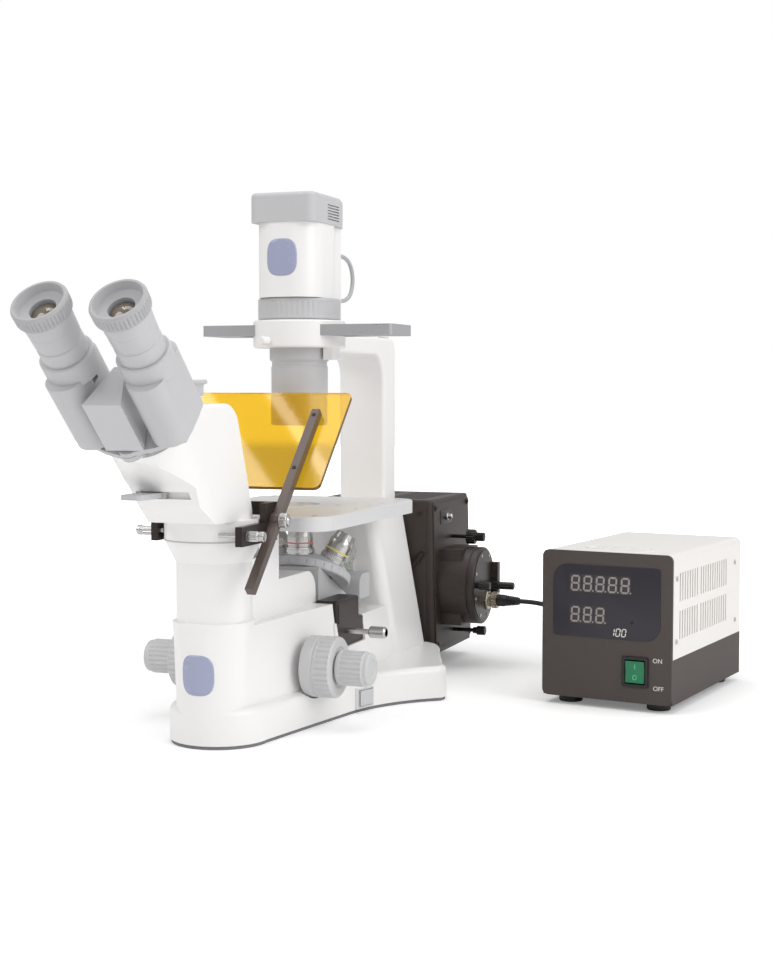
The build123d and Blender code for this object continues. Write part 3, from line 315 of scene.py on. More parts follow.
# %% Clear finishes
def amber_sheet(name):
    """Clear amber acrylic: it filters the light behind it, with hair-fine scratches in the gloss."""
    f = Finish(name)
    scratches = f.noise(160, 2, f.where((1, 9, 9), (0.4, 0, 0)))
    drift = f.noise(9, 2)
    tint = linear(252, 200, 12)
    f.set(
        colour=f.blend(drift, tint, tuple(c * 0.96 for c in tint)),
        rough=scratches * 0.04 + 0.02,
        normal=f.bump(scratches, 0.02, 0.0002),
        through=0.94,
        ior=1.49,
        coat=0.15,
        coat_rough=0.03,
    )
    return f.material


def coated_glass(name, tint):
    """A coated lens: dark inside, with the coloured gloss of its coating."""
    f = Finish(name)
    bloom = f.noise(40, 1)
    f.set(
        colour=f.blend(bloom, tint, tuple(c * 0.6 for c in tint)),
        rough=bloom * 0.02 + 0.03,
        coat=1.0,
        coat_rough=0.02,
        ior=1.6,
    )
    return f.material


def two_tone(name, lower, upper, level):
    """Satin enamel of the head, with the grey of the eye housings beyond a level along the tubes."""
    f = Finish(name)
    x, y, z = f.axes()
    beyond = ((z - y) * sqrt(0.5)).above(level)
    peel = f.noise(900, 2)
    f.set(
        colour=f.blend(beyond, lower, upper),
        rough=peel * 0.05 + 0.32,
        normal=f.bump(peel, 0.12, 0.0002),
        coat=0.2,
        coat_rough=0.2,
    )
    return f.material


print("clear finishes and the two-tone paint ready")

# %% Every finish by its name
WHITE = linear(243, 242, 241)
PALE = linear(214, 214, 215)
GREY = linear(196, 196, 198)
GREY_FROM = 0.411
finish = {
    "white enamel": enamel("white_enamel", WHITE),
    "pale enamel": enamel("pale_enamel", PALE, rough=0.38),
    "pale moulding": moulding("pale_moulding", GREY, rough=0.5),
    "grey moulding": moulding("grey_moulding", linear(206, 206, 207), rough=0.46),
    "stage paint": enamel("stage_paint", linear(222, 222, 223), rough=0.4),
    "pale alloy": turned_metal(
        "pale_alloy", linear(224, 224, 225), rough=0.38, along=(1, 14, 1), metal=0.35,
    ),
    "rim rubber": rubber("rim_rubber", linear(120, 120, 122)),
    "wrinkle black": wrinkle("wrinkle_black", linear(46, 36, 31), depth=0.2, rough=0.42),
    "satin black": anodised("satin_black", linear(42, 34, 30)),
    "black moulding": moulding("black_moulding", linear(24, 22, 21), rough=0.38),
    "cord rubber": rubber("cord_rubber", linear(22, 21, 20), rough=0.55),
    "steel": turned_metal("bright_steel", linear(205, 204, 202), rough=0.22, along=(20, 1, 1)),
    "nickel": turned_metal("warm_nickel", linear(196, 186, 168), rough=0.3, along=(20, 1, 1)),
    "amber": amber_sheet("amber_sheet"),
    "panel": wrinkle("panel_paint", linear(66, 58, 55), grain=2600, depth=0.25, rough=0.6),
    "cover": enamel("cover_enamel", linear(232, 229, 225), rough=0.42, peel=0.2, coat=0.1),
    "green": moulding("green_switch", linear(20, 120, 78), rough=0.25, depth=0.05),
    "glass": coated_glass("coated_glass", linear(120, 104, 84)),
    "lead grey": rubber("lead_grey", linear(178, 178, 180), rough=0.5),
    "head enamel": two_tone("head_enamel", WHITE, GREY, GREY_FROM),
    "eye moulding": moulding("eye_moulding", linear(196, 196, 198), rough=0.44),
    "eye rubber": rubber("eye_rubber", linear(176, 176, 178), rough=0.6),
    "rod grey": anodised("rod_grey", linear(96, 85, 80)),
    "slate plate": enamel("slate_plate", linear(160, 165, 192), rough=0.25),
    "slider alloy": turned_metal(
        "slider_alloy", linear(176, 176, 179), rough=0.4, along=(1, 14, 1), metal=0.3,
    ),
    # Pale sheet behind the supply's louvres: painted light, so the slots show pale where the dark inside
    # of the cover would be.
    "baffle": enamel("painted_light_sheet_enamel", linear(214, 211, 206), rough=0.6, peel=0.1, coat=0.0),
    "display glass": enamel("display_glass", linear(32, 28, 38), rough=0.3, peel=0.02, coat=0.1),
    "digit cell": moulding("digit_cell", linear(54, 48, 52), rough=0.45, depth=0.03),
    "digit bars": moulding("digit_bars", linear(150, 144, 142), rough=0.45, depth=0.03),
    "green mark": moulding("green_mark", linear(96, 190, 150), rough=0.4, depth=0.03),
    "print white": moulding("print_white", linear(226, 222, 216), rough=0.5, depth=0.03),
    "band red": enamel("band_red", linear(214, 120, 112), rough=0.35),
    "band yellow": enamel("band_yellow", linear(232, 214, 120), rough=0.35),
    "band green": enamel("band_green", linear(132, 190, 140), rough=0.35),
    "band blue": enamel("band_blue", linear(120, 160, 205), rough=0.35),
    "band white": enamel("band_white", linear(236, 236, 236), rough=0.35),
}
print("finishes", len(finish))

# %% [markdown]
# ## Smooth shading for the solids
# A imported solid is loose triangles, so a round face shows its facets. Merging its points would
# be the usual way, but the CAD solids may not be changed. Instead, the corners that lie at one
# point and belong to faces that meet at a shallow angle are given one shared normal. The points
# themselves stay where they are.


# %% Shared normals for a solid
CREASE = cos(radians(32))
MOST_AT_A_POINT = 48


def soften(obj):
    """Corner normal = sum of the area-weighted normals of faces at that point within the crease."""
    mesh = obj.data
    count = len(mesh.loops)
    corner_vertex = np.empty(count, np.int32)
    mesh.loops.foreach_get("vertex_index", corner_vertex)
    points = np.empty(len(mesh.vertices) * 3, np.float32)
    mesh.vertices.foreach_get("co", points)
    points = points.reshape(-1, 3)[corner_vertex]
    triangles = points.reshape(-1, 3, 3)
    weighted = np.cross(triangles[:, 1] - triangles[:, 0], triangles[:, 2] - triangles[:, 0])
    length = np.linalg.norm(weighted, axis=1, keepdims=True)
    unit = np.repeat(weighted / np.maximum(length, 1e-20), 3, axis=0)
    weighted = np.repeat(weighted, 3, axis=0)
    keys = np.round(points / 2e-6).astype(np.int64)
    _, group = np.unique(keys, axis=0, return_inverse=True)
    group = group.ravel()
    order = np.argsort(group, kind="stable")
    sizes = np.bincount(group)
    starts = np.concatenate([[0], np.cumsum(sizes)[:-1]])
    here = group[order]
    rank = np.arange(count) - starts[here]
    total = np.zeros((count, 3))
    for step in range(min(int(sizes.max()), MOST_AT_A_POINT)):
        other = order[starts[here] + (rank + step) % sizes[here]]
        close = np.einsum("ij,ij->i", unit[order], unit[other]) > CREASE
        used = (close & (step < sizes[here]))[:, None]
        total[order] += np.where(used, weighted[other], 0)
    total /= np.maximum(np.linalg.norm(total, axis=1, keepdims=True), 1e-20)
    mesh.polygons.foreach_set("use_smooth", np.ones(len(mesh.polygons), bool))
    mesh.normals_split_custom_set(total.astype(np.float32).tolist())


for solid in nodes.values():
    if all(len(p.vertices) == 3 for p in solid.data.polygons[:4]):
        soften(solid)
print("softened", len(nodes), "solids")

# %% [markdown]
# ## A finish for every solid
# Most solids keep their CAD shape and only get a finish. The table gives each finish and the
# solids that wear it, so that one line shows what is made of the same stuff on the real stand.

# %% Finishes of the solids
dress = {
    "white enamel": "base_casting pillar_arm lamp_tower condenser_carriage",
    "head enamel": "head_body",
    "pale enamel": "condenser_tube port_cap stage_plate",
    "pale moulding": "lamp_cap left_wing right_wing turret nosepiece_carriage field_ring"
    " light_path_lever",
    "grey moulding": "coarse_knobs fine_knobs base_rocker",
    "pale alloy": "stage_insert bottom_plate guide_rail fold_mirrors",
    "slider alloy": "phase_slider",
    "rim rubber": "base_rim",
    "wrinkle black": "lamp_house socket_housing",
    "satin black": "filter_block illuminator_tube shield_yoke",
    "rod grey": "shield_rod",
    "black moulding": "top_knob long_knob short_knob low_knob collector_knob",
    "cord rubber": "strain_relief lamp_cord supply_cord cord_coil lamp_lead",
    "steel": "filter_slide right_thumbscrew left_thumbscrew shield_knob coarse_sleeve fine_spindle"
    " focus_rack objectives",
    "nickel": "cord_plugs",
    "amber": "amber_shield",
    "panel": "supply_panel supply_chassis",
    "cover": "supply_cover",
    "green": "supply_rocker",
    "eye moulding": "left_eyepiece right_eyepiece",
    "eye rubber": "left_eyecup right_eyecup",
    "glass": "halogen_lamp arc_burner",
}
for name, members in dress.items():
    for member in members.split():
        nodes[member].data.materials.clear()
        nodes[member].data.materials.append(finish[name])
undressed = sorted(set(nodes) - {m for ms in dress.values() for m in ms.split()})
print("left out of the list", undressed)

# %% [markdown]
# ## Meshes from rings
# Most pieces of a microscope are turned on a lathe, and the rest are flat plates with round
# corners. Both could come from Blender's own cylinders and bevels, but a worked-out mesh takes
# its sizes straight from a table. So every piece is a stack of closed rings with the same number
# of points. Neighbouring rings are joined by four-sided faces, and the ends are closed. Lengths
# are in millimetres, as in the CAD source, and become metres when the mesh is made.

# %% One object from points and faces
def put(name, points, faces, body, look, sharp=34):
    """Mesh object from points in millimetres, its faces outward, which rides on a body."""
    mesh = bpy.data.meshes.new(name)
    mesh.from_pydata((np.asarray(points, float) * MM).tolist(), [], faces)
    shell = bmesh.new()
    shell.from_mesh(mesh)
    bmesh.ops.recalc_face_normals(shell, faces=shell.faces)
    if shell.calc_volume(signed=True) < 0:
        bmesh.ops.reverse_faces(shell, faces=shell.faces)
    shell.to_mesh(mesh)
    shell.free()
    mesh.polygons.foreach_set("use_smooth", np.ones(len(mesh.polygons), bool))
    mesh.set_sharp_from_angle(angle=radians(sharp))
    mesh.materials.append(finish[look])
    obj = bpy.data.objects.new(name, mesh)
    bpy.context.scene.collection.objects.link(obj)
    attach(obj, body)
    return obj


def joined(shapes):
    """Points and faces of several shapes as one."""
    points = []
    faces = []
    for more_points, more_faces in shapes:
        first = len(points)
        points += list(more_points)
        faces += [[first + i for i in face] for face in more_faces]
    return points, faces


print("object helpers ready")


# %% Stacks of rings and rounded outlines
def rings(stack, around=False):
    """Points and faces of a stack of rings. With around, the last ring joins the first.

    Point i of ring k has the number k*count + i. The face beside it also takes point i+1 and
    the same two points of the ring above, both counted round in a circle.
    """
    stack = np.asarray(stack, float)
    levels, count = stack.shape[:2]
    low = np.arange(levels - 1 + around)[:, None]
    high = (low + 1) % levels
    here = np.arange(count)
    beside = (here + 1) % count
    corners = [low * count + here, low * count + beside, high * count + beside, high * count + here]
    faces = np.stack(corners, axis=-1).reshape(-1, 4).tolist()
    if not around:
        faces.append(here[::-1].tolist())
        faces.append((here + (levels - 1) * count).tolist())
    return stack.reshape(-1, 3), faces


def eased(outline, ease):
    """Outline with each inner corner C rounded between points A and B on its two sides.

    The curve is (1-t)^2 A + 2t(1-t) C + t^2 B. A and B lie at `ease` from the corner, or at 0.4
    of a short side.
    """
    outline = [np.array([*point, 0.0][:3], float) for point in outline]
    soft = [outline[0]]
    for before, corner, after in zip(outline, outline[1:], outline[2:]):
        into = np.linalg.norm(corner[:2] - before[:2])
        out = np.linalg.norm(after[:2] - corner[:2])
        a = corner + (before - corner) * min(ease, 0.4 * into) / max(into, 1e-9)
        b = corner + (after - corner) * min(ease, 0.4 * out) / max(out, 1e-9)
        for t in (0.0, 0.33, 0.67, 1.0):
            soft.append((1 - t) ** 2 * a + 2 * t * (1 - t) * corner + t**2 * b)
    soft.append(outline[-1])
    return soft


def basis(axis):
    """The axis as a unit vector, and two directions across it."""
    axis = np.asarray(axis, float)
    axis = axis / np.linalg.norm(axis)
    helper = Z if abs(axis[2]) < 0.9 else X
    side = np.cross(axis, helper)
    side /= np.linalg.norm(side)
    return axis, side, np.cross(axis, side)


print("ring helpers ready")

# %% Turned pieces
STEPS = 72
STEPS_TO_A_RIB = 6
SMALLEST = 0.01


def spokes_and_grooves(axis, ribs, steps):
    """Directions side*cos a + across*sin a round the axis, and grooves |sin(ribs*a/2)|^4."""
    axis, side, across = basis(axis)
    if ribs:
        steps = ribs * STEPS_TO_A_RIB
    angle = 2 * pi * np.arange(steps) / steps
    groove = np.abs(np.sin(ribs * angle / 2)) ** 4
    spokes = np.cos(angle)[:, None] * side + np.sin(angle)[:, None] * across
    return axis, angle, spokes, groove


def lathe(origin, axis, outline, ease=0.3, ribs=0, depth=0.0, steps=STEPS, hexagon=False):
    """Turned shape: origin + axis*d + spoke*r, with r less groove*depth between two ribs.

    An outline point is (radius, distance) or (radius, distance, share of the rib's depth). A
    hexagon keeps r at its corners: elsewhere it is r*cos 30 / cos(angle to the flat's middle).
    """
    axis, angle, spokes, groove = spokes_and_grooves(axis, ribs, steps)
    flat = np.ones(len(angle))
    if hexagon:
        flat = np.cos(pi / 6) / np.cos(angle % (pi / 3) - pi / 6)
    stack = []
    for radius, distance, share in eased(outline, ease):
        reach = max(radius, SMALLEST) * flat - groove * depth * share
        stack.append(np.asarray(origin) + axis * distance + spokes * reach[:, None])
    return rings(stack)


def ring_lathe(origin, axis, outline, ribs=0, depth=0.0, ease=0.3, steps=STEPS):
    """Turned ring with a hole: as `lathe`, but the outline closes on itself."""
    axis, angle, spokes, groove = spokes_and_grooves(axis, ribs, steps)
    stack = []
    for radius, distance, share in eased(outline + outline[:2], ease)[1:-1]:
        reach = radius - groove * depth * share
        stack.append(np.asarray(origin) + axis * distance + spokes * reach[:, None])
    return rings(stack, around=True)


def cap_screw(origin, out, radius, high, socket=0.5):
    """Socket screw: a turned head with a round hole, sunk a little into its seat."""
    floor = 0.35 * high
    return lathe(
        origin, out,
        [(0, -0.4 * high), (radius, -0.4 * high), (radius, high), (socket * radius, high),
         (socket * radius, floor), (0, floor)],
        0.15, steps=36,
    )


print("turning helpers ready")

# %% Flat plates with round corners
def rounded(wide, high, radii, inset=0.0, steps=7):
    """Rounded rectangle about its middle: corner centre + radius*(cos a, sin a), a quarter each.

    The radii are those of the top right, top left, bottom left and bottom right corner.
    """
    arcs = []
    for quarter, radius in enumerate(radii):
        sx = 1 if quarter in (0, 3) else -1
        sy = 1 if quarter in (0, 1) else -1
        radius = max(radius - inset, 0.02)
        middle = np.array([sx * (wide / 2 - inset - radius), sy * (high / 2 - inset - radius)])
        a = pi / 2 * (quarter + np.arange(steps) / (steps - 1))
        arcs.append(middle + radius * np.stack([np.cos(a), np.sin(a)], axis=-1))
    return np.concatenate(arcs)


def level_ring(origin, u, v, loop, level):
    """Ring origin + u*a + v*b + out*level for each point (a, b) of a flat loop."""
    loop = np.asarray(loop, float)
    return np.asarray(origin) + loop[:, :1] * u + loop[:, 1:] * v + np.cross(u, v) * level


def pad(origin, u, v, loop, low, high, ease=0.3):
    """Flat slab on directions u and v, from low to high along their normal, its rims rounded.

    A rim is a quarter circle: the inset is ease*(1 - sin w), and the step in height from the
    face is ease*(1 - cos w).
    """
    stack = []
    for face, way, shares in ((low, 1, (0.0, 0.35, 0.7, 1.0)), (high, -1, (1.0, 0.7, 0.35, 0.0))):
        for share in shares:
            inset = ease * (1 - sin(share * pi / 2))
            level = face + way * ease * (1 - cos(share * pi / 2))
            stack.append(level_ring(origin, u, v, loop(inset), level))
    return rings(stack)


print("plate helpers ready")

# %% [markdown]
# ## The cord
# The lamp's cord leaves its strain relief, drops to the bench behind the supply, lies there in
# a coil of seven turns, and rises to the supply's rear socket. Such a cord is about 1.5 m long,
# and with its coil this one is 1.58 m. A cord could be simulated, but a thick one that lies
# still is easier to lay out from given points, so one smooth spline follows the points of its route.

# %% The supply's place and the coil
CORD = 5.0
COIL_MIDDLE = (303.0, 401.8)
COIL_STEPS = 16
COIL_TURNS = [(32.5, 2.5), (27.5, 2.5), (22.5, 2.5), (22.5, 7.5), (27.5, 7.5), (32.5, 7.5), (32.5, 12.5)]
COIL_START = radians(-100)
SUPPLY_TURN = radians(-9.2)
SUPPLY_CORNER = np.array([216.2, 80.7, 0.0])
SUPPLY_RIGHT = np.array([cos(SUPPLY_TURN), sin(SUPPLY_TURN), 0.0])
SUPPLY_BACK = np.array([-sin(SUPPLY_TURN), cos(SUPPLY_TURN), 0.0])


def on_supply(x, y, z):
    """Point given in the power supply's own directions."""
    return SUPPLY_CORNER + SUPPLY_RIGHT * x + SUPPLY_BACK * y + Z * z


def coil_points():
    """Seven turns a diameter apart. The last sixth of each turn moves over to the next one."""
    points = []
    widen = 1 / cos(pi / COIL_STEPS)
    for turn, (radius, level) in enumerate(COIL_TURNS):
        following = COIL_TURNS[min(turn + 1, len(COIL_TURNS) - 1)]
        bulge = 0.0
        if following[1] != level:
            bulge = 1.8 if radius > 27.5 else -1.8
        for step in range(COIL_STEPS):
            over = max(0.0, (step / COIL_STEPS - 5 / 6) * 6)
            r = radius + (following[0] - radius) * over + bulge * sin(pi * over)
            z = level + (following[1] - level) * over
            a = COIL_START + 2 * pi * step / COIL_STEPS
            points.append((COIL_MIDDLE[0] + widen * r * cos(a), COIL_MIDDLE[1] + widen * r * sin(a), z))
    return points


print("coil of", len(COIL_TURNS), "turns")


# %% Round cords along a spline
def spline(name, points, diameter, look):
    """Smooth round cord: a quadratic spline, whose points' own radius gives the thickness."""
    curve = bpy.data.curves.new(name, "CURVE")
    curve.dimensions = "3D"
    curve.bevel_depth = 1.0
    curve.bevel_resolution = 5
    curve.resolution_u = 10
    curve.use_fill_caps = True
    line = curve.splines.new("NURBS")
    line.points.add(len(points) - 1)
    for point, place in zip(line.points, points):
        point.co = (*(float(c) * MM for c in place), 1)
        point.radius = diameter / 2 * MM
    line.order_u = 3
    line.use_endpoint_u = True
    curve.materials.append(finish[look])
    obj = bpy.data.objects.new(name, curve)
    bpy.context.scene.collection.objects.link(obj)
    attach(obj, "stand")
    return obj


def line_length(obj):
    """Length in metres of the curve's own line."""
    depth = obj.data.bevel_depth
    obj.data.bevel_depth = 0
    thin = bpy.data.meshes.new_from_object(obj)
    obj.data.bevel_depth = depth
    at = np.array([v.co[:] for v in thin.vertices])
    bpy.data.meshes.remove(thin)
    return float(np.linalg.norm(np.diff(at, axis=0), axis=1).sum())


print("cord helpers ready")

# %% The cord from the lamp to the supply
cord_start = (143.0, 260.3, 69.5)
outlet = on_supply(95, 203, 40)
route = [
    cord_start, (166.0, 260.3, 69.5), (193.0, 270.0, 58.0), (212.0, 294.0, 40.0), (226.0, 320.0, 21.0),
    (241.0, 341.0, 10.0), (257.0, 356.5, 7.5), (272.0, 368.0, 5.0), (286.0, 371.5, 3.0),
]
route += coil_points()
route += [
    (300.2, 369.4, 12.5), (316.0, 368.4, 11.0), (331.0, 366.5, 8.0), (342.5, 358.0, 9.5),
    (349.5, 346.0, 17.0), (353.0, 332.0, 29.0), outlet + SUPPLY_BACK * 46, outlet + SUPPLY_BACK * 30,
]
cord = spline("lamp_and_supply_cord", route, CORD, "cord rubber")
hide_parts("lamp_cord", "cord_coil", "supply_cord")
cord_length = line_length(cord)
print("cord", round(cord_length, 3), "m")

# %% The lead at the back of the tower
LEAD = 4.0
lead_route = [(22, 45, 424), (22, 70, 424), (22, 84, 403), (22, 70, 381), (22, 45, 381)]
lead = spline("tower_lead", lead_route, LEAD, "lead grey")
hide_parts("lamp_lead")
lead_length = line_length(lead)
print("lead", round(lead_length, 3), "m")

# %% [markdown]
# ## Connector, plug and strain relief
# The lamp socket has a bright ribbed connector, and a tapered rubber sleeve that the cord comes
# out of. A plain black plug sits on the supply's rear. The sleeve is a row of thin ribs, each a
# little narrower than the last, which is quicker to write as a loop that grows the outline.

# %% Connector and plugs
PLUG = np.array([0.0, 260.3, 69.5])
FACE = 106.0
connector = put("lamp_connector", *lathe(
    PLUG, X,
    [(0, FACE - 1), (8.9, FACE - 1), (8.9, FACE + 3), (7.4, FACE + 3.4), (7.4, FACE + 7),
     (8.9, FACE + 7.4, 0), (8.9, FACE + 7.8, 1), (8.9, 118.4, 1), (8.9, 119, 0), (0, 119)],
    0.25, ribs=22, depth=0.8,
), "stand", "nickel")
supply_plug = put("supply_socket_plug", *lathe(
    outlet, SUPPLY_BACK,
    [(0, 0), (9, 0), (9, 12), (7, 14), (6, 22), (4.2, 29.9), (0, 29.9)], 0.8,
), "stand", "black moulding")
for piece in (connector, supply_plug):
    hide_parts("cord_plugs")
sleeve = [(0, 119.1), (6.4, 119.1), (6.4, 126)]
for rib in range(6):
    d = 127.0 + 2.6 * rib
    r = 6.0 - 0.3 * rib
    sleeve += [(r, d), (r, d + 1.3), (r - 0.9, d + 1.5), (r - 1.0, d + 2.3)]
sleeve += [(4.0, 142.9), (0, 142.9)]
relief = put("cord_sleeve", *lathe(PLUG, X, sleeve, 0.2), "stand", "cord rubber")
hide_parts("strain_relief")
print("connector and plugs made")

# %% [markdown]
# ## Knobs
# The focus knobs, the thumbscrews and the centring knobs are turned again with finer grips
# than the CAD solids have. A grip could be a bump in the material, but its outline would stay
# round, so the ribs are cut into the mesh: the third number of an outline's point says how much
# of the rib's depth that point takes. Each knob rides on the body of the solid that it replaces.

# %% Focus knobs
SHAFT = np.array([0.0, -95.0, 53.5])
coarse_shapes = []
fine_shapes = []
for side in (1, -1):
    outward = X * side
    coarse_shapes.append(lathe(
        SHAFT, outward,
        [(0, 49.8), (25.5, 49.8), (27, 51.3), (27, 60), (26.2, 60.8), (26.2, 62), (27, 62.8, 0),
         (27, 64, 1), (27, 75.6, 1), (26.6, 76.9, 0), (25.3, 78), (18, 78), (17.2, 77.2), (0, 77.2)],
        0.35, ribs=32, depth=1.3,
    ))
    fine_shapes.append(lathe(
        SHAFT, outward,
        [(0, 78.3), (14, 78.3), (15.5, 79.8), (15.5, 82, 0), (15.5, 83, 1), (15.5, 101.5, 1),
         (15.5, 103, 0), (14.3, 104.2), (14.3, 107.5), (13.1, 108.7), (9, 108.7), (8, 107.7), (0, 107.7)],
        0.3, ribs=22, depth=1.1,
    ))
coarse = put("coarse_focus_pair", *joined(coarse_shapes), "coarse", "grey moulding")
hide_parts("coarse_knobs")
fine = put("fine_focus_pair", *joined(fine_shapes), "fine", "grey moulding")
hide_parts("fine_knobs")
print("focus knobs on both sides")

# %% Small knobs and thumbscrews
thumb_grip = [
    (2, 48.3), (4.3, 48.3), (4.3, 49.3, 1), (4.3, 57, 1), (4.3, 58), (3.7, 58.4), (3.7, 59.6), (4.3, 60),
    (4.3, 62.8), (3.8, 63.5), (0, 63.5),
]
small_knobs = [
    ("top_knob", "centring_top", (0, 262, 137), X, 18, 0.7,
     [(0, 62.2), (2, 62.2), (2, 84), (8, 84), (8, 85, 1), (8, 92, 1), (7.6, 93), (4.8, 93.5),
      (4.8, 94.4, 1), (4.8, 102.4, 1), (4.3, 103), (0, 103)], "black moulding"),
    ("long_knob", "centring_long", (0, 271.6, 84), X, 16, 0.45,
     [(0, 96.2), (2, 96.2), (2, 106.3), (4.8, 106.3), (4.8, 107, 1), (4.8, 116.5, 1), (4.8, 117),
      (4.1, 117.5), (4.1, 132.5), (3.4, 133.5), (0, 133.5)], "black moulding"),
    ("short_knob", "centring_short", (0, 220, 89.6), X, 16, 0.45,
     [(0, 96.2), (2, 96.2), (2, 106.3), (3.2, 106.3), (3.2, 110), (4.5, 110.5), (4.5, 111.2, 1),
      (4.5, 121, 1), (4, 122), (0, 122)], "black moulding"),
    ("low_knob", "centring_low", (0, 262, 35.5), X, 16, 0.5,
     [(0, 62.2), (2, 62.2), (2, 90.5), (3.4, 91), (3.4, 95), (4.9, 95.5), (4.9, 96.2, 1),
      (4.9, 103.6, 1), (4.3, 104.3), (0, 104.3)], "black moulding"),
    ("right_thumbscrew", "right_screw", (0, -219, 179), X, 20, 0.4,
     [(0, 23), (2, 23), *thumb_grip], "steel"),
    ("left_thumbscrew", "left_screw", (0, -197, 179), -X, 20, 0.4,
     [(0, 39.3), (2, 39.3), *thumb_grip], "steel"),
]
for node, body, origin, axis, ribs, depth, outline, look in small_knobs:
    knob = put(node + "_grip", *lathe(origin, axis, outline, 0.25, ribs=ribs, depth=depth), body, look)
    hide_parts(node)
print("small knobs", len(small_knobs))

# %% Knob of the shield and bar of the collector
clamp = put("shield_knob_grip", *ring_lathe(
    (0, -170, 188), X,
    [(3.06, 56.1), (6.5, 56.1), (6.5, 56.8, 1), (6.5, 61, 1), (6.3, 61.8), (5.8, 62.6), (3.06, 63.3)],
    ribs=28, depth=0.5,
), "shield_clamp", "steel")
clamp_end = put("shield_knob_end", *lathe(
    (0, -170, 188), X, [(0, 62.2), (4.0, 62.2), (4.0, 63.3), (2.6, 64.2), (0, 64.4)], 0.2,
), "shield_clamp", "steel")
for piece in (clamp, clamp_end):
    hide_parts("shield_knob")
# The collector is set by a short bar across its shaft, as in the photograph
BAR_TURN = radians(50)
bar_way = np.array([cos(BAR_TURN), 0.0, sin(BAR_TURN)])
collector_bar = put("collector_bar", *joined([
    lathe(
        (47.6, 196.6, 116), bar_way,
        [(0, -11.3), (3, -11.3), (3, -10.5, 1), (3, 10.5, 1), (3, 11.3), (0, 11.3)],
        0.6, ribs=14, depth=0.3,
    ),
    lathe(
        (47.6, 0, 116), Y,
        [(0, 195.5), (4.2, 195.5), (4.2, 199.6), (3, 200), (3, 206), (0, 206)], 0.3, steps=36,
    ),
]), "collector", "satin black")
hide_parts("collector_knob")
print("shield knob and collector bar made")

# %% [markdown]
# ## Eyepieces, objectives and the condenser
# The eyepieces end in coated lenses and ribbed rubber cups, and each objective has a coloured
# band and a ribbed grip. The tubes and cups are rings with a hole, because the lens inside has to
# show. The bands are thin rings over the CAD objectives, placed by the nosepiece's own angles.

# %% Eyepieces and cups
EYE_OUT = np.array([0.0, -sqrt(0.5), sqrt(0.5)])
EYE_UP = np.array([0.0, sqrt(0.5), sqrt(0.5)])
HUB = np.array([0.0, -317.3, 248.4])
EYE_SIDE = 32
EYE_RISE = 24
for name, side in (("left", -1), ("right", 1)):
    centre = HUB + X * EYE_SIDE * side + EYE_UP * EYE_RISE
    tube = put(name + "_eyepiece_tube", *ring_lathe(
        centre, EYE_OUT,
        [(10, 60), (13.9, 60), (13.9, 84), (18, 84), (18, 96), (17.2, 96.6), (17.2, 99.4), (18, 100),
         (18.4, 110), (18.2, 110.6), (18.2, 112), (18.6, 112.6), (19, 122), (10, 122)],
    ), name + "_eye", "eye moulding")
    lens = put(name + "_eye_lens", *lathe(
        centre, EYE_OUT,
        [(0, 118), (10.2, 118), (10.2, 122.4), (9.2, 123.6), (6, 125), (3, 125.7), (0, 125.9)], 1.0,
    ), name + "_eye", "glass")
    for piece in (tube, lens):
        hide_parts(name + "_eyepiece")
    cup = put(name + "_rubber_cup", *ring_lathe(
        centre, EYE_OUT,
        [(10.3, 122), (20.3, 122), (21.2, 122.6, 0), (21.8, 124, 1), (22, 131.4, 1), (22, 133, 0),
         (21, 135), (19, 135), (17, 129), (10.3, 127)],
        ribs=44, depth=0.9,
    ), name + "_eye", "eye rubber")
    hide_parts(name + "_eyecup")
print("eyepieces", 2)

# %% Bands on the objectives
TILT = radians(26)
APEX = np.array([0.0, 0.0, 81.0])
BAND_LOOKS = ("band red", "band yellow", "band green", "band blue", "band white")


def objective_direction(position):
    """Direction at the tilt from the nosepiece axis, a fifth of a turn from the last one."""
    turn = 2 * pi * position / len(BAND_LOOKS)
    lift = sin(TILT) * cos(turn)
    return np.array([
        sin(TILT) * sin(turn),
        cos(TILT) * sin(TILT) - lift * cos(TILT),
        cos(TILT) ** 2 + lift * sin(TILT),
    ])


for position, look in enumerate(BAND_LOOKS):
    way = objective_direction(position)
    put(f"objective_band_{position}", *ring_lathe(
        APEX, way, [(12.2, 70.5), (12.45, 70.5), (12.45, 72.0), (12.2, 72.0)], ease=0.05,
    ), "revolver", look)
    put(f"objective_grip_{position}", *ring_lathe(
        APEX, way, [(12.2, 62), (12.75, 62, 1), (12.75, 65.8, 1), (12.2, 65.8)],
        ribs=40, depth=0.5, ease=0.1,
    ), "revolver", "steel")
print("objectives with bands", len(BAND_LOOKS))

# %% Field ring, condenser and port cap
field = put("field_iris_ring", *ring_lathe(
    (0, 0, 0), Z,
    [(20.05, 361), (37.5, 361), (38.5, 362), (38.5, 363.6, 0), (38.5, 364.4, 1), (38.5, 377, 1),
     (38.5, 377.8, 0), (38.5, 379.7), (37.5, 380.7), (20.05, 380.7)],
    ribs=48, depth=0.5,
), "ring", "eye moulding")
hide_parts("field_ring")
barrel = put("condenser_barrel", *ring_lathe(
    (0, 0, 0), Z,
    [(22, 274), (18.1, 270), (18.1, 262), (25.3, 262), (26.5, 263.2), (26.5, 317.6), (25.8, 318.3),
     (25.8, 322), (28, 324), (28, 335), (18, 335), (18, 300), (22, 296)],
), "stand", "eye moulding")
front_lens = put("condenser_lens", *lathe(
    (0, 0, 0), Z, [(0, 263.2), (9, 263.6), (15, 264.6), (18, 266), (18, 268), (0, 268)], 0.6,
), "stand", "glass")
for piece in (barrel, front_lens):
    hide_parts("condenser_tube")
cap = put("photo_port_cap", *lathe(
    (0, -235, 0), Z,
    [(0, 292.2), (16, 292.2), (16, 293, 1), (16, 300, 1), (16, 301), (19, 302), (19, 304), (18, 305),
     (14, 305), (13.4, 304.5), (0, 304.5)], 0.3, ribs=36, depth=0.5,
), "cap", "eye moulding")
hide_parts("port_cap")
print("optics dressed")

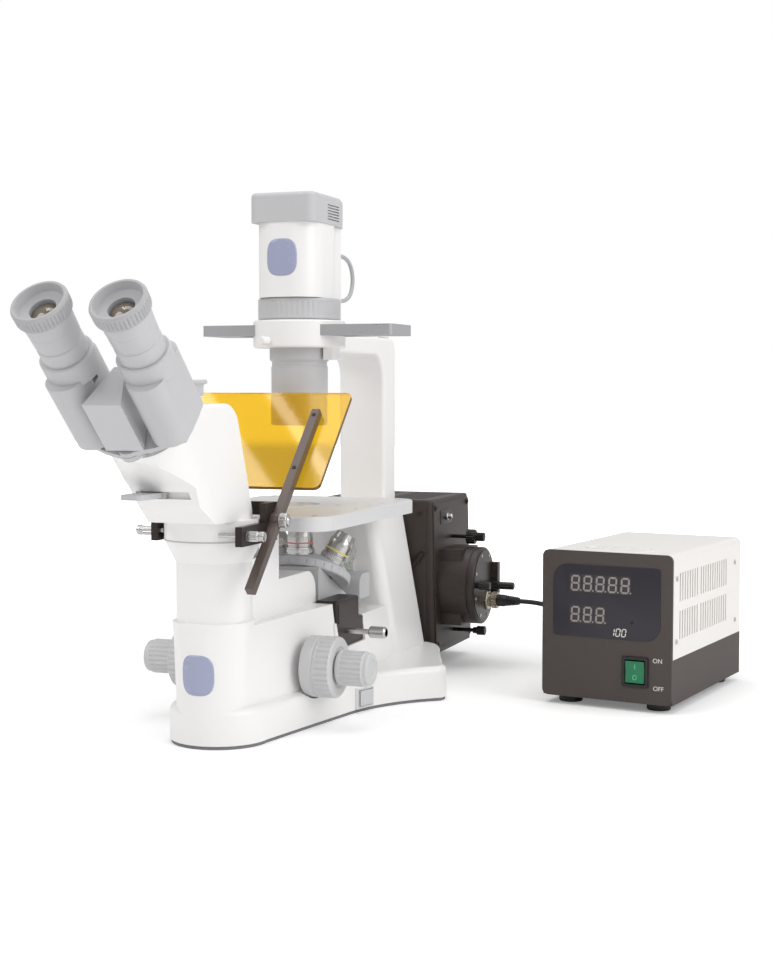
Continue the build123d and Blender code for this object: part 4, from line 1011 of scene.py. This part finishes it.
# %% [markdown]
# ## The power supply's front and sides
# A slate window with two rows of seven-segment digits stands on the dark panel, with the green
# rocker in its bezel below. A font could draw the digits, but the bars of a real display stand
# apart, so each is a six-sided bar laid out from one small table. Only ON and OFF are a font's.

# %% The display's window
PANEL_OUT = -SUPPLY_BACK
PANEL_FACE = -3


def on_panel(across, rise):
    """Point of the panel's front face."""
    return on_supply(across, PANEL_FACE, rise)


put("display_window", *pad(
    on_panel(64, 99.7), SUPPLY_RIGHT, Z,
    lambda inset: rounded(106, 68, (3, 15, 3, 15), inset), -0.2, 0.5, 0.25,
), "stand", "display glass")
print("window made")

# %% Bars of a digit
GLYPHS = {"8": "abcdefg", "1": "bc", "0": "abcdef"}


def bar(start, end, thick):
    """Six-sided bar between two points: pointed ends, each 0.15 of the thickness from its point."""
    start = np.array(start)
    end = np.array(end)
    way = (end - start) / np.linalg.norm(end - start)
    side = np.array([-way[1], way[0]]) * thick / 2
    tip = way * thick / 2
    gap = way * 0.15 * thick
    start = start + gap
    end = end - gap
    return [start, start + tip - side, end - tip - side, end, end - tip + side, start + tip + side]


def digit(glyph, across, rise, wide, high, thick, lean=0.0):
    """Seven bars at most, each a thin prism on the window. Lean moves a point by lean * height."""
    half = high / 2
    ends = {
        "a": ((0, high), (wide, high)), "b": ((wide, high), (wide, half)), "c": ((wide, half), (wide, 0)),
        "d": ((0, 0), (wide, 0)), "e": ((0, half), (0, 0)), "f": ((0, high), (0, half)),
        "g": ((0, half), (wide, half)),
    }
    shapes = []
    for segment in GLYPHS[glyph]:
        loop = [(p[0] + lean * p[1], p[1]) for p in bar(*ends[segment], thick)]
        shapes.append(pad(on_panel(across, rise), SUPPLY_RIGHT, Z, lambda inset: loop, 0.45, 0.62, 0.0))
    return shapes


print("glyphs", len(GLYPHS))

# %% Readouts and the lamp's figure
DIGIT_WIDE = 7.0
DIGIT_HIGH = 13.2
DIGIT_PITCH = 12.3


def readout(name, rise, digits, first=29.6):
    """Row of unlit digits, each with a darker cell behind it and a dot beside it."""
    cells = []
    bars = []
    for place in range(digits):
        across = first + DIGIT_PITCH * place
        middle = on_panel(across + DIGIT_WIDE / 2 + 0.3, rise + DIGIT_HIGH / 2)
        cells.append(pad(
            middle, SUPPLY_RIGHT, Z,
            lambda inset: rounded(DIGIT_PITCH - 0.9, DIGIT_HIGH + 4.2, (1,) * 4, inset, 3),
            0.3, 0.54, 0.1,
        ))
        bars += digit("8", across, rise, DIGIT_WIDE, DIGIT_HIGH, 1.7, 0.06)
        dot = [(0, 0.45), (0.8, 0.45), (0.8, 0.66), (0, 0.66)]
        dot_middle = on_panel(across + DIGIT_WIDE + 2.2, rise)
        bars.append(lathe(dot_middle, PANEL_OUT, dot, 0.05, steps=20))
    put(name + "_cells", *joined(cells), "stand", "digit cell")
    put(name + "_bars", *joined(bars), "stand", "digit bars")


readout("upper_readout", 109.4, 5)
readout("lower_readout", 80.2, 3)
small_number = []
for place, glyph in enumerate("100"):
    small_number += digit(glyph, 68.0 + 5.7 * place, 68.8, 3.7, 6.8, 0.9, 0.16)
put("lamp_watts", *joined(small_number), "stand", "print white")
put("display_led", *lathe(
    on_panel(89.5, 82.2), PANEL_OUT,
    [(0, 0.3), (1.6, 0.3), (1.6, 0.9), (1.2, 1.1), (0.9, 0.6), (0, 0.6)], 0.1, steps=32,
), "stand", "black moulding")
print("readouts made")

# %% Words beside the switch
PRINT_THICK = 0.08 * MM


def lettering(name, text, across, rise, high):
    """Plain printed letters on the panel."""
    font = bpy.data.curves.new(name, "FONT")
    font.body = text
    font.size = high * MM * 1.4
    font.extrude = PRINT_THICK
    font.align_x = "CENTER"
    font.align_y = "CENTER"
    turned_text = bpy.data.objects.new(name + "_text", font)
    bpy.context.scene.collection.objects.link(turned_text)
    place = Matrix.Identity(4)
    for column, direction in enumerate((SUPPLY_RIGHT, Z, PANEL_OUT)):
        place.col[column][:3] = direction
    place.translation = on_panel(across, rise) * MM + PANEL_OUT * PRINT_THICK
    mesh = bpy.data.meshes.new_from_object(turned_text)
    bpy.data.objects.remove(turned_text)
    mesh.transform(place)
    obj = bpy.data.objects.new(name, mesh)
    mesh.materials.clear()
    mesh.materials.append(finish["print white"])
    bpy.context.scene.collection.objects.link(obj)
    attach(obj, "stand")


lettering("print_on", "ON", 114.5, 48.6, 4.2)
lettering("print_off", "OFF", 115.5, 23.0, 4.2)
print("words", 2)


# %% Bezel of the supply's switch
def frame_pad(origin, u, v, outer, inner, low, high, ease=0.4):
    """Flat frame: an outer loop that rises and bends in, then an inner loop that goes down again.

    Each step is (share of the inset, height). The inner loop takes the same steps backwards,
    with the inset turned round, because its rim bends outward.
    """
    steps = ((0.0, low), (0.0, high - ease), (0.3, high - 0.3 * ease), (1.0, high))
    stack = [level_ring(origin, u, v, outer(share * ease), level) for share, level in steps]
    stack += [level_ring(origin, u, v, inner(-share * ease), level) for share, level in steps[::-1]]
    return rings(stack, around=True)


put("switch_bezel", *frame_pad(
    on_panel(93, 37), SUPPLY_RIGHT, Z,
    lambda inset: rounded(25.6, 28.4, (1.6,) * 4, inset),
    lambda inset: rounded(19.4, 22.4, (0.8,) * 4, inset),
    -0.1, 1.7,
), "stand", "black moulding")
print("bezel made")

# %% Marks of the rocker: a bar for on and a ring for off
ROCKER_LEAN = 0.12
ROCKER_FACE = -4.35
for name, rise, way in (("on", 42.0, -1), ("off", 32.0, 1)):
    up = Z + SUPPLY_BACK * ROCKER_LEAN * way
    up = up / np.linalg.norm(up)
    place = on_supply(93, ROCKER_FACE, rise)
    if name == "on":
        mark = pad(
            place, SUPPLY_RIGHT, up,
            lambda inset: rounded(0.9, 4.6, (0.3,) * 4, inset, 3), -0.3, 0.16, 0.05,
        )
    else:
        mark = frame_pad(
            place, SUPPLY_RIGHT, up,
            lambda inset: rounded(4.4, 4.8, (2.15,) * 4, inset),
            lambda inset: rounded(2.8, 3.2, (1.35,) * 4, inset),
            -0.3, 0.16, 0.05,
        )
    put("rocker_mark_" + name, *mark, "power_rocker", "green mark")
print("marks made")

# %% Side screws, pale sheets of painted light behind the louvres, feet, top grip and rear socket
SUPPLY_WIDE = 128.0
LIGHT_SHEET_IN = 4.5
side_screws = []
for side, outward in ((SUPPLY_WIDE, SUPPLY_RIGHT), (0.0, -SUPPLY_RIGHT)):
    for y, z in ((8.5, 124), (183, 122.5), (8.5, 66), (185.5, 64)):
        side_screws.append(cap_screw(on_supply(side, y, z), outward, 2.4, 0.9))
put("cover_screws", *joined(side_screws), "stand", "steel")
# Pale sheets inside the cover behind the louvres: painted light, shown in the slots where the inside
# would be in shade.
painted_light_sheets = []
for across in (LIGHT_SHEET_IN, SUPPLY_WIDE - LIGHT_SHEET_IN):
    for low in (67, 102):
        painted_light_sheets.append(pad(
            on_supply(across, 89, low + 13.2), SUPPLY_BACK, Z,
            lambda inset: rounded(150, 30, (1,) * 4, inset, 3), -0.4, 0.4, 0.1,
        ))
put("louvre_painted_light_sheets", *joined(painted_light_sheets), "stand", "baffle")
foot = [(0, 0), (10.6, 0), (11.2, 1), (11.2, 7.2), (10.6, 7.9), (0, 7.9)]
feet = [lathe(on_supply(x, y, 0), Z, foot, 0.3, steps=48) for x in (20, 108) for y in (20, 183)]
put("supply_rubber_feet", *joined(feet), "stand", "cord rubber")
put("cover_grip", *frame_pad(
    on_supply(64, 34, 146), SUPPLY_RIGHT, SUPPLY_BACK,
    lambda inset: rounded(70, 22, (10,) * 4, inset),
    lambda inset: rounded(62, 14, (6.5,) * 4, inset), -0.2, 0.9,
), "stand", "cover")
put("rear_socket_plate", *frame_pad(
    outlet, -SUPPLY_RIGHT, Z,
    lambda inset: rounded(30, 30, (3,) * 4, inset),
    lambda inset: rounded(18.4, 18.4, (9.2,) * 4, inset), -0.1, 1.4,
), "stand", "black moulding")
print("power supply dressed")

# %% [markdown]
# ## The lamp house and its socket
# The lamp house is a metal box, wider at its foot, with raised panels on its front, its rear and
# its right side. They could be cut out of the CAD solid, but that solid may not change, so each
# panel is a thin plate laid on it. Plates and screws are placed on the sloping side by their
# height. The round socket housing carries an end plate with a ring of small screws.


# %% Raised panels and screws of the house
def on_house(y, z):
    """Point on the right side of the lamp house, whose half width grows from 64 to 68 downward."""
    return np.array([64.0 + 4.0 * (180 - z) / 163, y, z])


HOUSE_OUT = np.array([163.0, 0.0, 4.0]) / sqrt(163.0**2 + 16)
HOUSE_UP = np.cross(HOUSE_OUT, Y)
put("house_side_plate", *pad(
    on_house(263.5, 98.5), Y, HOUSE_UP, lambda inset: rounded(121, 155, (3,) * 4, inset), -0.3, 0.9, 0.5,
), "stand", "wrinkle black")
corner_screws = []
for y in (209, 318):
    for z in (26, 171):
        place = on_house(y, z)
        corner_screws.append(cap_screw(place + HOUSE_OUT * 0.8, HOUSE_OUT, 3.0, 1.6))
        corner_screws.append(cap_screw(place * (-1, 1, 1), HOUSE_OUT * (-1, 1, 1), 3.0, 1.6))
put("house_corner_screws", *joined(corner_screws), "stand", "satin black")
put("house_stud_plate", *pad(
    on_house(243, 160) + HOUSE_OUT * 0.8, Y, HOUSE_UP,
    lambda inset: rounded(38, 15, (2,) * 4, inset), -0.2, 0.7, 0.3,
), "stand", "satin black")
put("house_stud", *lathe(
    on_house(243, 160), HOUSE_OUT,
    [(0, 1), (4.2, 1), (4.2, 3.4), (3.0, 4.0), (3.0, 7.5), (2.4, 8.2), (0, 8.2)],
    0.3, steps=36, hexagon=True,
), "stand", "steel")
for name, y, across in (("front", 200, X), ("rear", 327, -X)):
    out = np.cross(across, Z)
    put(f"house_{name}_plate", *pad(
        (0, y, 98.5), across, Z, lambda inset: rounded(116, 148, (3,) * 4, inset), -0.3, 0.8, 0.5,
    ), "stand", "wrinkle black")
    put(f"house_{name}_screws", *joined([
        cap_screw(np.array([x, y, z]) + out * 0.7, out, 2.6, 1.2) for x in (-51, 51) for z in (31, 166)
    ]), "stand", "satin black")
print("house plates", 3)

# %% The socket's end plate and nut
SOCKET = np.array([0.0, 250.0, 86.3])
put("socket_end_plate", *lathe(
    SOCKET, X, [(0, 105.5), (38.4, 105.5), (38.4, 106.5), (37.8, 106.9), (0, 106.9)], 0.2, steps=96,
), "stand", "satin black")
plate_screws = []
PLATE_SCREWS = 8
for number in range(PLATE_SCREWS):
    a = 2 * pi * (number + 0.4) / PLATE_SCREWS
    place = SOCKET + X * 106.8 + Y * 34 * cos(a) + Z * 34 * sin(a)
    plate_screws.append(cap_screw(place, X, 1.7, 0.8))
put("socket_plate_screws", *joined(plate_screws), "stand", "steel")
put("connector_nut", *lathe(
    PLUG, X,
    [(0, FACE + 0.5), (11.2, FACE + 0.5), (11.2, FACE + 2.6), (10.6, FACE + 3.1), (0, FACE + 3.1)],
    0.2, steps=36, hexagon=True,
), "stand", "nickel")
print("lamp house dressed")

# %% [markdown]
# ## Small hardware of the stand
# Screws, a seam, two plain plates on the tower and the nose, and the screws that hold the amber
# plate on its rod. A flat plate would stand off a round face at its ends, so the two plates are
# bent: each ring of the plate is drawn flat first, and then laid along the face by arc length.


# %% Plain plates bent over round faces
def wrapped(surface, wide, high, thick, circles=8, steps=56):
    """Rounded plate on surface(s, z, out): a share k of the rim (a q cos t, b q sin t).

    With q = (|cos t|^3 + |sin t|^3)^(-1/3), the rim lies between an ellipse and a rectangle. The
    rings go out over the face, round the rim, and back in under it.
    """
    t = 2 * pi * np.arange(steps) / steps
    squircle = (np.abs(np.cos(t)) ** 3 + np.abs(np.sin(t)) ** 3) ** (-1 / 3)
    s = wide / 2 * np.cos(t) * squircle
    z = high / 2 * np.sin(t) * squircle
    face = [surface(s * share, z * share, thick) for share in np.linspace(0.02, 0.94, circles)]
    back = [surface(s * share, z * share, -0.3) for share in np.linspace(1.0, 0.02, circles)]
    return rings([*face, surface(s, z, 0.0), *back])


def tower_front(s, z, out):
    """Lamp tower: a front that is flat for 7 mm each side, then turns by s/24 on a radius of 24."""
    flat = 7.0
    radius = 24.0
    a = np.maximum(np.abs(s) - flat, 0.0) / radius
    x = np.sign(s) * (np.minimum(np.abs(s), flat) + (radius + out) * np.sin(a))
    return np.stack([x, -41.0 + radius - (radius + out) * np.cos(a), 417 + z], axis=-1)


def nose_front(s, z, out):
    """Nose of the base: a cone round the neck's axis, 31 mm at the foot and 34 mm at its top."""
    level = 62 + z
    radius = 31.0 + 3.0 * (level - 3) / 97
    a = s / radius
    x = (radius + out) * np.sin(a)
    y = -183.0 - (radius + out) * np.cos(a)
    return np.stack([x, y, level], axis=-1)


put("tower_plate", *wrapped(tower_front, 30, 34, 0.7), "stand", "slate plate")
put("nose_plate", *wrapped(nose_front, 30, 34, 0.7), "stand", "slate plate")
print("plain plates", 2)

# %% Screws of the stand and the stage
stand_screws = []
for x in (-15, 15):
    stand_screws.append(cap_screw((x, 197, 200), Y, 3.6, 1.6))
    stand_screws.append(cap_screw((x, 197, 300), Y, 3.6, 1.6))
for x in (-18, 18):
    for y in (170, 185):
        stand_screws.append(cap_screw((x, y, 349), Z, 2.6, 1.0))
put("pillar_screws", *joined(stand_screws), "stand", "steel")
stage_screws = [cap_screw((x, y, 188.4), Z, 2.8, 0.5) for x in (-66, 66) for y in (-122, 88)]
put("stage_screws", *joined(stage_screws), "stand", "steel")
insert_ring = [(15, 188.3), (19, 188.3), (19, 188.75), (15, 188.75)]
put("insert_rim", *ring_lathe((0, 0, 0), Z, insert_ring, ease=0.1), "insert", "steel")
print("stand and stage screws", len(stand_screws) + len(stage_screws))

# %% Screws of the amber plate and the seam of the head
ROD_ANGLE = radians(45.4)
ROD_WAY = np.array([0.0, cos(ROD_ANGLE), sin(ROD_ANGLE)])
ROD_BACK = np.array([0.0, sin(ROD_ANGLE), -cos(ROD_ANGLE)])
PIVOT = np.array([52.0, -170.0, 188.0])
ROD_HALF = 3.75
rod_face = PIVOT - ROD_BACK * ROD_HALF
rod_screws = [cap_screw(rod_face + ROD_WAY * d, -ROD_BACK, 1.9, 0.5) for d in (56, 118)]
put("shield_plate_screws", *joined(rod_screws), "shield", "satin black")
seam = [(41.0, 172), (41.3, 172), (41.3, 173.2), (41.0, 173.2)]
put("flange_seam", *ring_lathe((0, -183, 0), Z, seam, ease=0.1), "stand", "pale moulding")
print("rod screws", len(rod_screws))

# %% Bezel of the stand's own switch
FLANK_TURN = radians(72.7)
FLANK_ALONG = np.array([cos(FLANK_TURN), sin(FLANK_TURN), 0.0])
FLANK_OUT = np.array([sin(FLANK_TURN), -cos(FLANK_TURN), 0.0])
FLANK = np.array([73.0, -22.0, 13.5])
put("base_switch_bezel", *frame_pad(
    FLANK + FLANK_OUT * 2.0, FLANK_ALONG, Z,
    lambda inset: rounded(22.4, 18.4, (1.5,) * 4, inset),
    lambda inset: rounded(20.0, 15.2, (0.6,) * 4, inset),
    -0.2, 0.5, 0.2,
), "stand", "grey moulding")
print("base bezel made")

# %% Knob at the end of the filter slide
put("filter_lever_knob", *lathe(
    (0, -14, 73), X,
    [(0, 76), (4.5, 76), (5.5, 77), (5.5, 78, 1), (5.5, 84, 1), (5.5, 84.6), (4.8, 85), (4.8, 86),
     (5.5, 86.4), (5.5, 90.5), (4.0, 92.0), (0, 92.0)], 0.3, ribs=24, depth=0.5,
), "filters", "steel")
print("filter knob made")

# %% [markdown]
# ## Floor and light
# The photograph has a pure white ground with a faint shadow. Stronger lamps would whiten the
# floor, but they would also burn out the pale stand. So the floor is a pale matt sheet that
# glows for the camera alone, more the further away it lies, and the world is white behind it.
# Three large soft lamps stand left, right and above, as in a product studio, and two narrow ones
# are there for their streaks in the amber plate.


# %% Floor
def stage_sheet():
    """Pale floor that shows white to the camera and keeps the shadow."""
    floor = bpy.data.meshes.new("floor")
    half = 6.0
    corners = [(-half, -half, 0), (half, -half, 0), (half, half, 0), (-half, half, 0)]
    floor.from_pydata(corners, [], [(0, 1, 2, 3)])
    obj = bpy.data.objects.new("floor", floor)
    bpy.context.scene.collection.objects.link(obj)
    f = Finish("floor_sheet")
    grain = f.noise(3, 2)
    seen = f.node("ShaderNodeLightPath", {}, {}, "Is Camera Ray")
    f.set(colour=f.blend(grain, (0.93, 0.93, 0.93), (0.95, 0.95, 0.95)), rough=0.9, specular=0.0)
    x, y, z = f.axes()
    away = (x * x + (y - 0.05) * (y - 0.05)).power(0.5)
    far = ((away - 0.45) * 1.6).clamp()
    glow = f.node("ShaderNodeEmission", {}, {"Strength": seen * (far * 0.85 + 0.17)})
    total = f.node("ShaderNodeAddShader", {}, {0: Sock(f, f.shader.outputs[0]), 1: glow})
    f.links.new(total.socket, f.nodes["Material Output"].inputs["Surface"])
    floor.materials.append(f.material)


stage_sheet()
print("floor laid")

# %% World: white to the camera and through glass, and a softer fill light for all else
FILL = 0.55
world = bpy.data.worlds.new("studio")
bpy.context.scene.world = world
world.use_nodes = True
sky = world.node_tree
background = sky.nodes["Background"]
path = sky.nodes.new("ShaderNodeLightPath")
either = sky.nodes.new("ShaderNodeMath")
either.operation = "MAXIMUM"
sky.links.new(path.outputs["Is Camera Ray"], either.inputs[0])
sky.links.new(path.outputs["Is Transmission Ray"], either.inputs[1])
lift = sky.nodes.new("ShaderNodeMath")
lift.operation = "MULTIPLY_ADD"
lift.inputs[1].default_value = 1 - FILL
lift.inputs[2].default_value = FILL
sky.links.new(either.outputs[0], lift.inputs[0])
sky.links.new(lift.outputs[0], background.inputs["Strength"])
background.inputs["Color"].default_value = (1, 1, 1, 1)
print("world fill", FILL)


# %% Lamps
def lamp(name, place, aim, size, power):
    """Large square area lamp that looks at a point."""
    data = bpy.data.lights.new(name, "AREA")
    data.energy = power
    data.size = size
    obj = bpy.data.objects.new(name, data)
    obj.location = place
    obj.rotation_euler = (Vector(aim) - Vector(place)).to_track_quat("-Z", "Y").to_euler()
    bpy.context.scene.collection.objects.link(obj)


AMBER_PLATE = (0, -0.1, 0.257)
STREAK_TURN = radians(-62)


def strip(name, place, turn, wide, tall, power):
    """Narrow lamp that the amber plate mirrors as a pale streak."""
    data = bpy.data.lights.new(name, "AREA")
    data.shape = "RECTANGLE"
    data.size = wide
    data.size_y = tall
    data.energy = power
    obj = bpy.data.objects.new(name, data)
    obj.location = place
    aim = (Vector(AMBER_PLATE) - Vector(place)).to_track_quat("-Z", "Y").to_matrix()
    obj.rotation_euler = (aim @ Matrix.Rotation(turn, 3, "Z")).to_euler()
    bpy.context.scene.collection.objects.link(obj)


lamp("key", (-1.3, -1.5, 1.9), (0.05, 0, 0.2), 1.4, 16)
lamp("side", (2.2, -0.5, 1.3), (0.1, 0.1, 0.15), 1.8, 26)
lamp("top", (0.1, 0.3, 2.2), (0.1, 0, 0.2), 1.8, 16)
strip("streak_wide", (-0.56, -0.16, 1.34), STREAK_TURN, 0.05, 0.9, 0.45)
strip("streak_narrow", (-0.44, -0.14, 1.36), STREAK_TURN, 0.02, 0.9, 0.18)
print("lamps", len(bpy.data.lights))
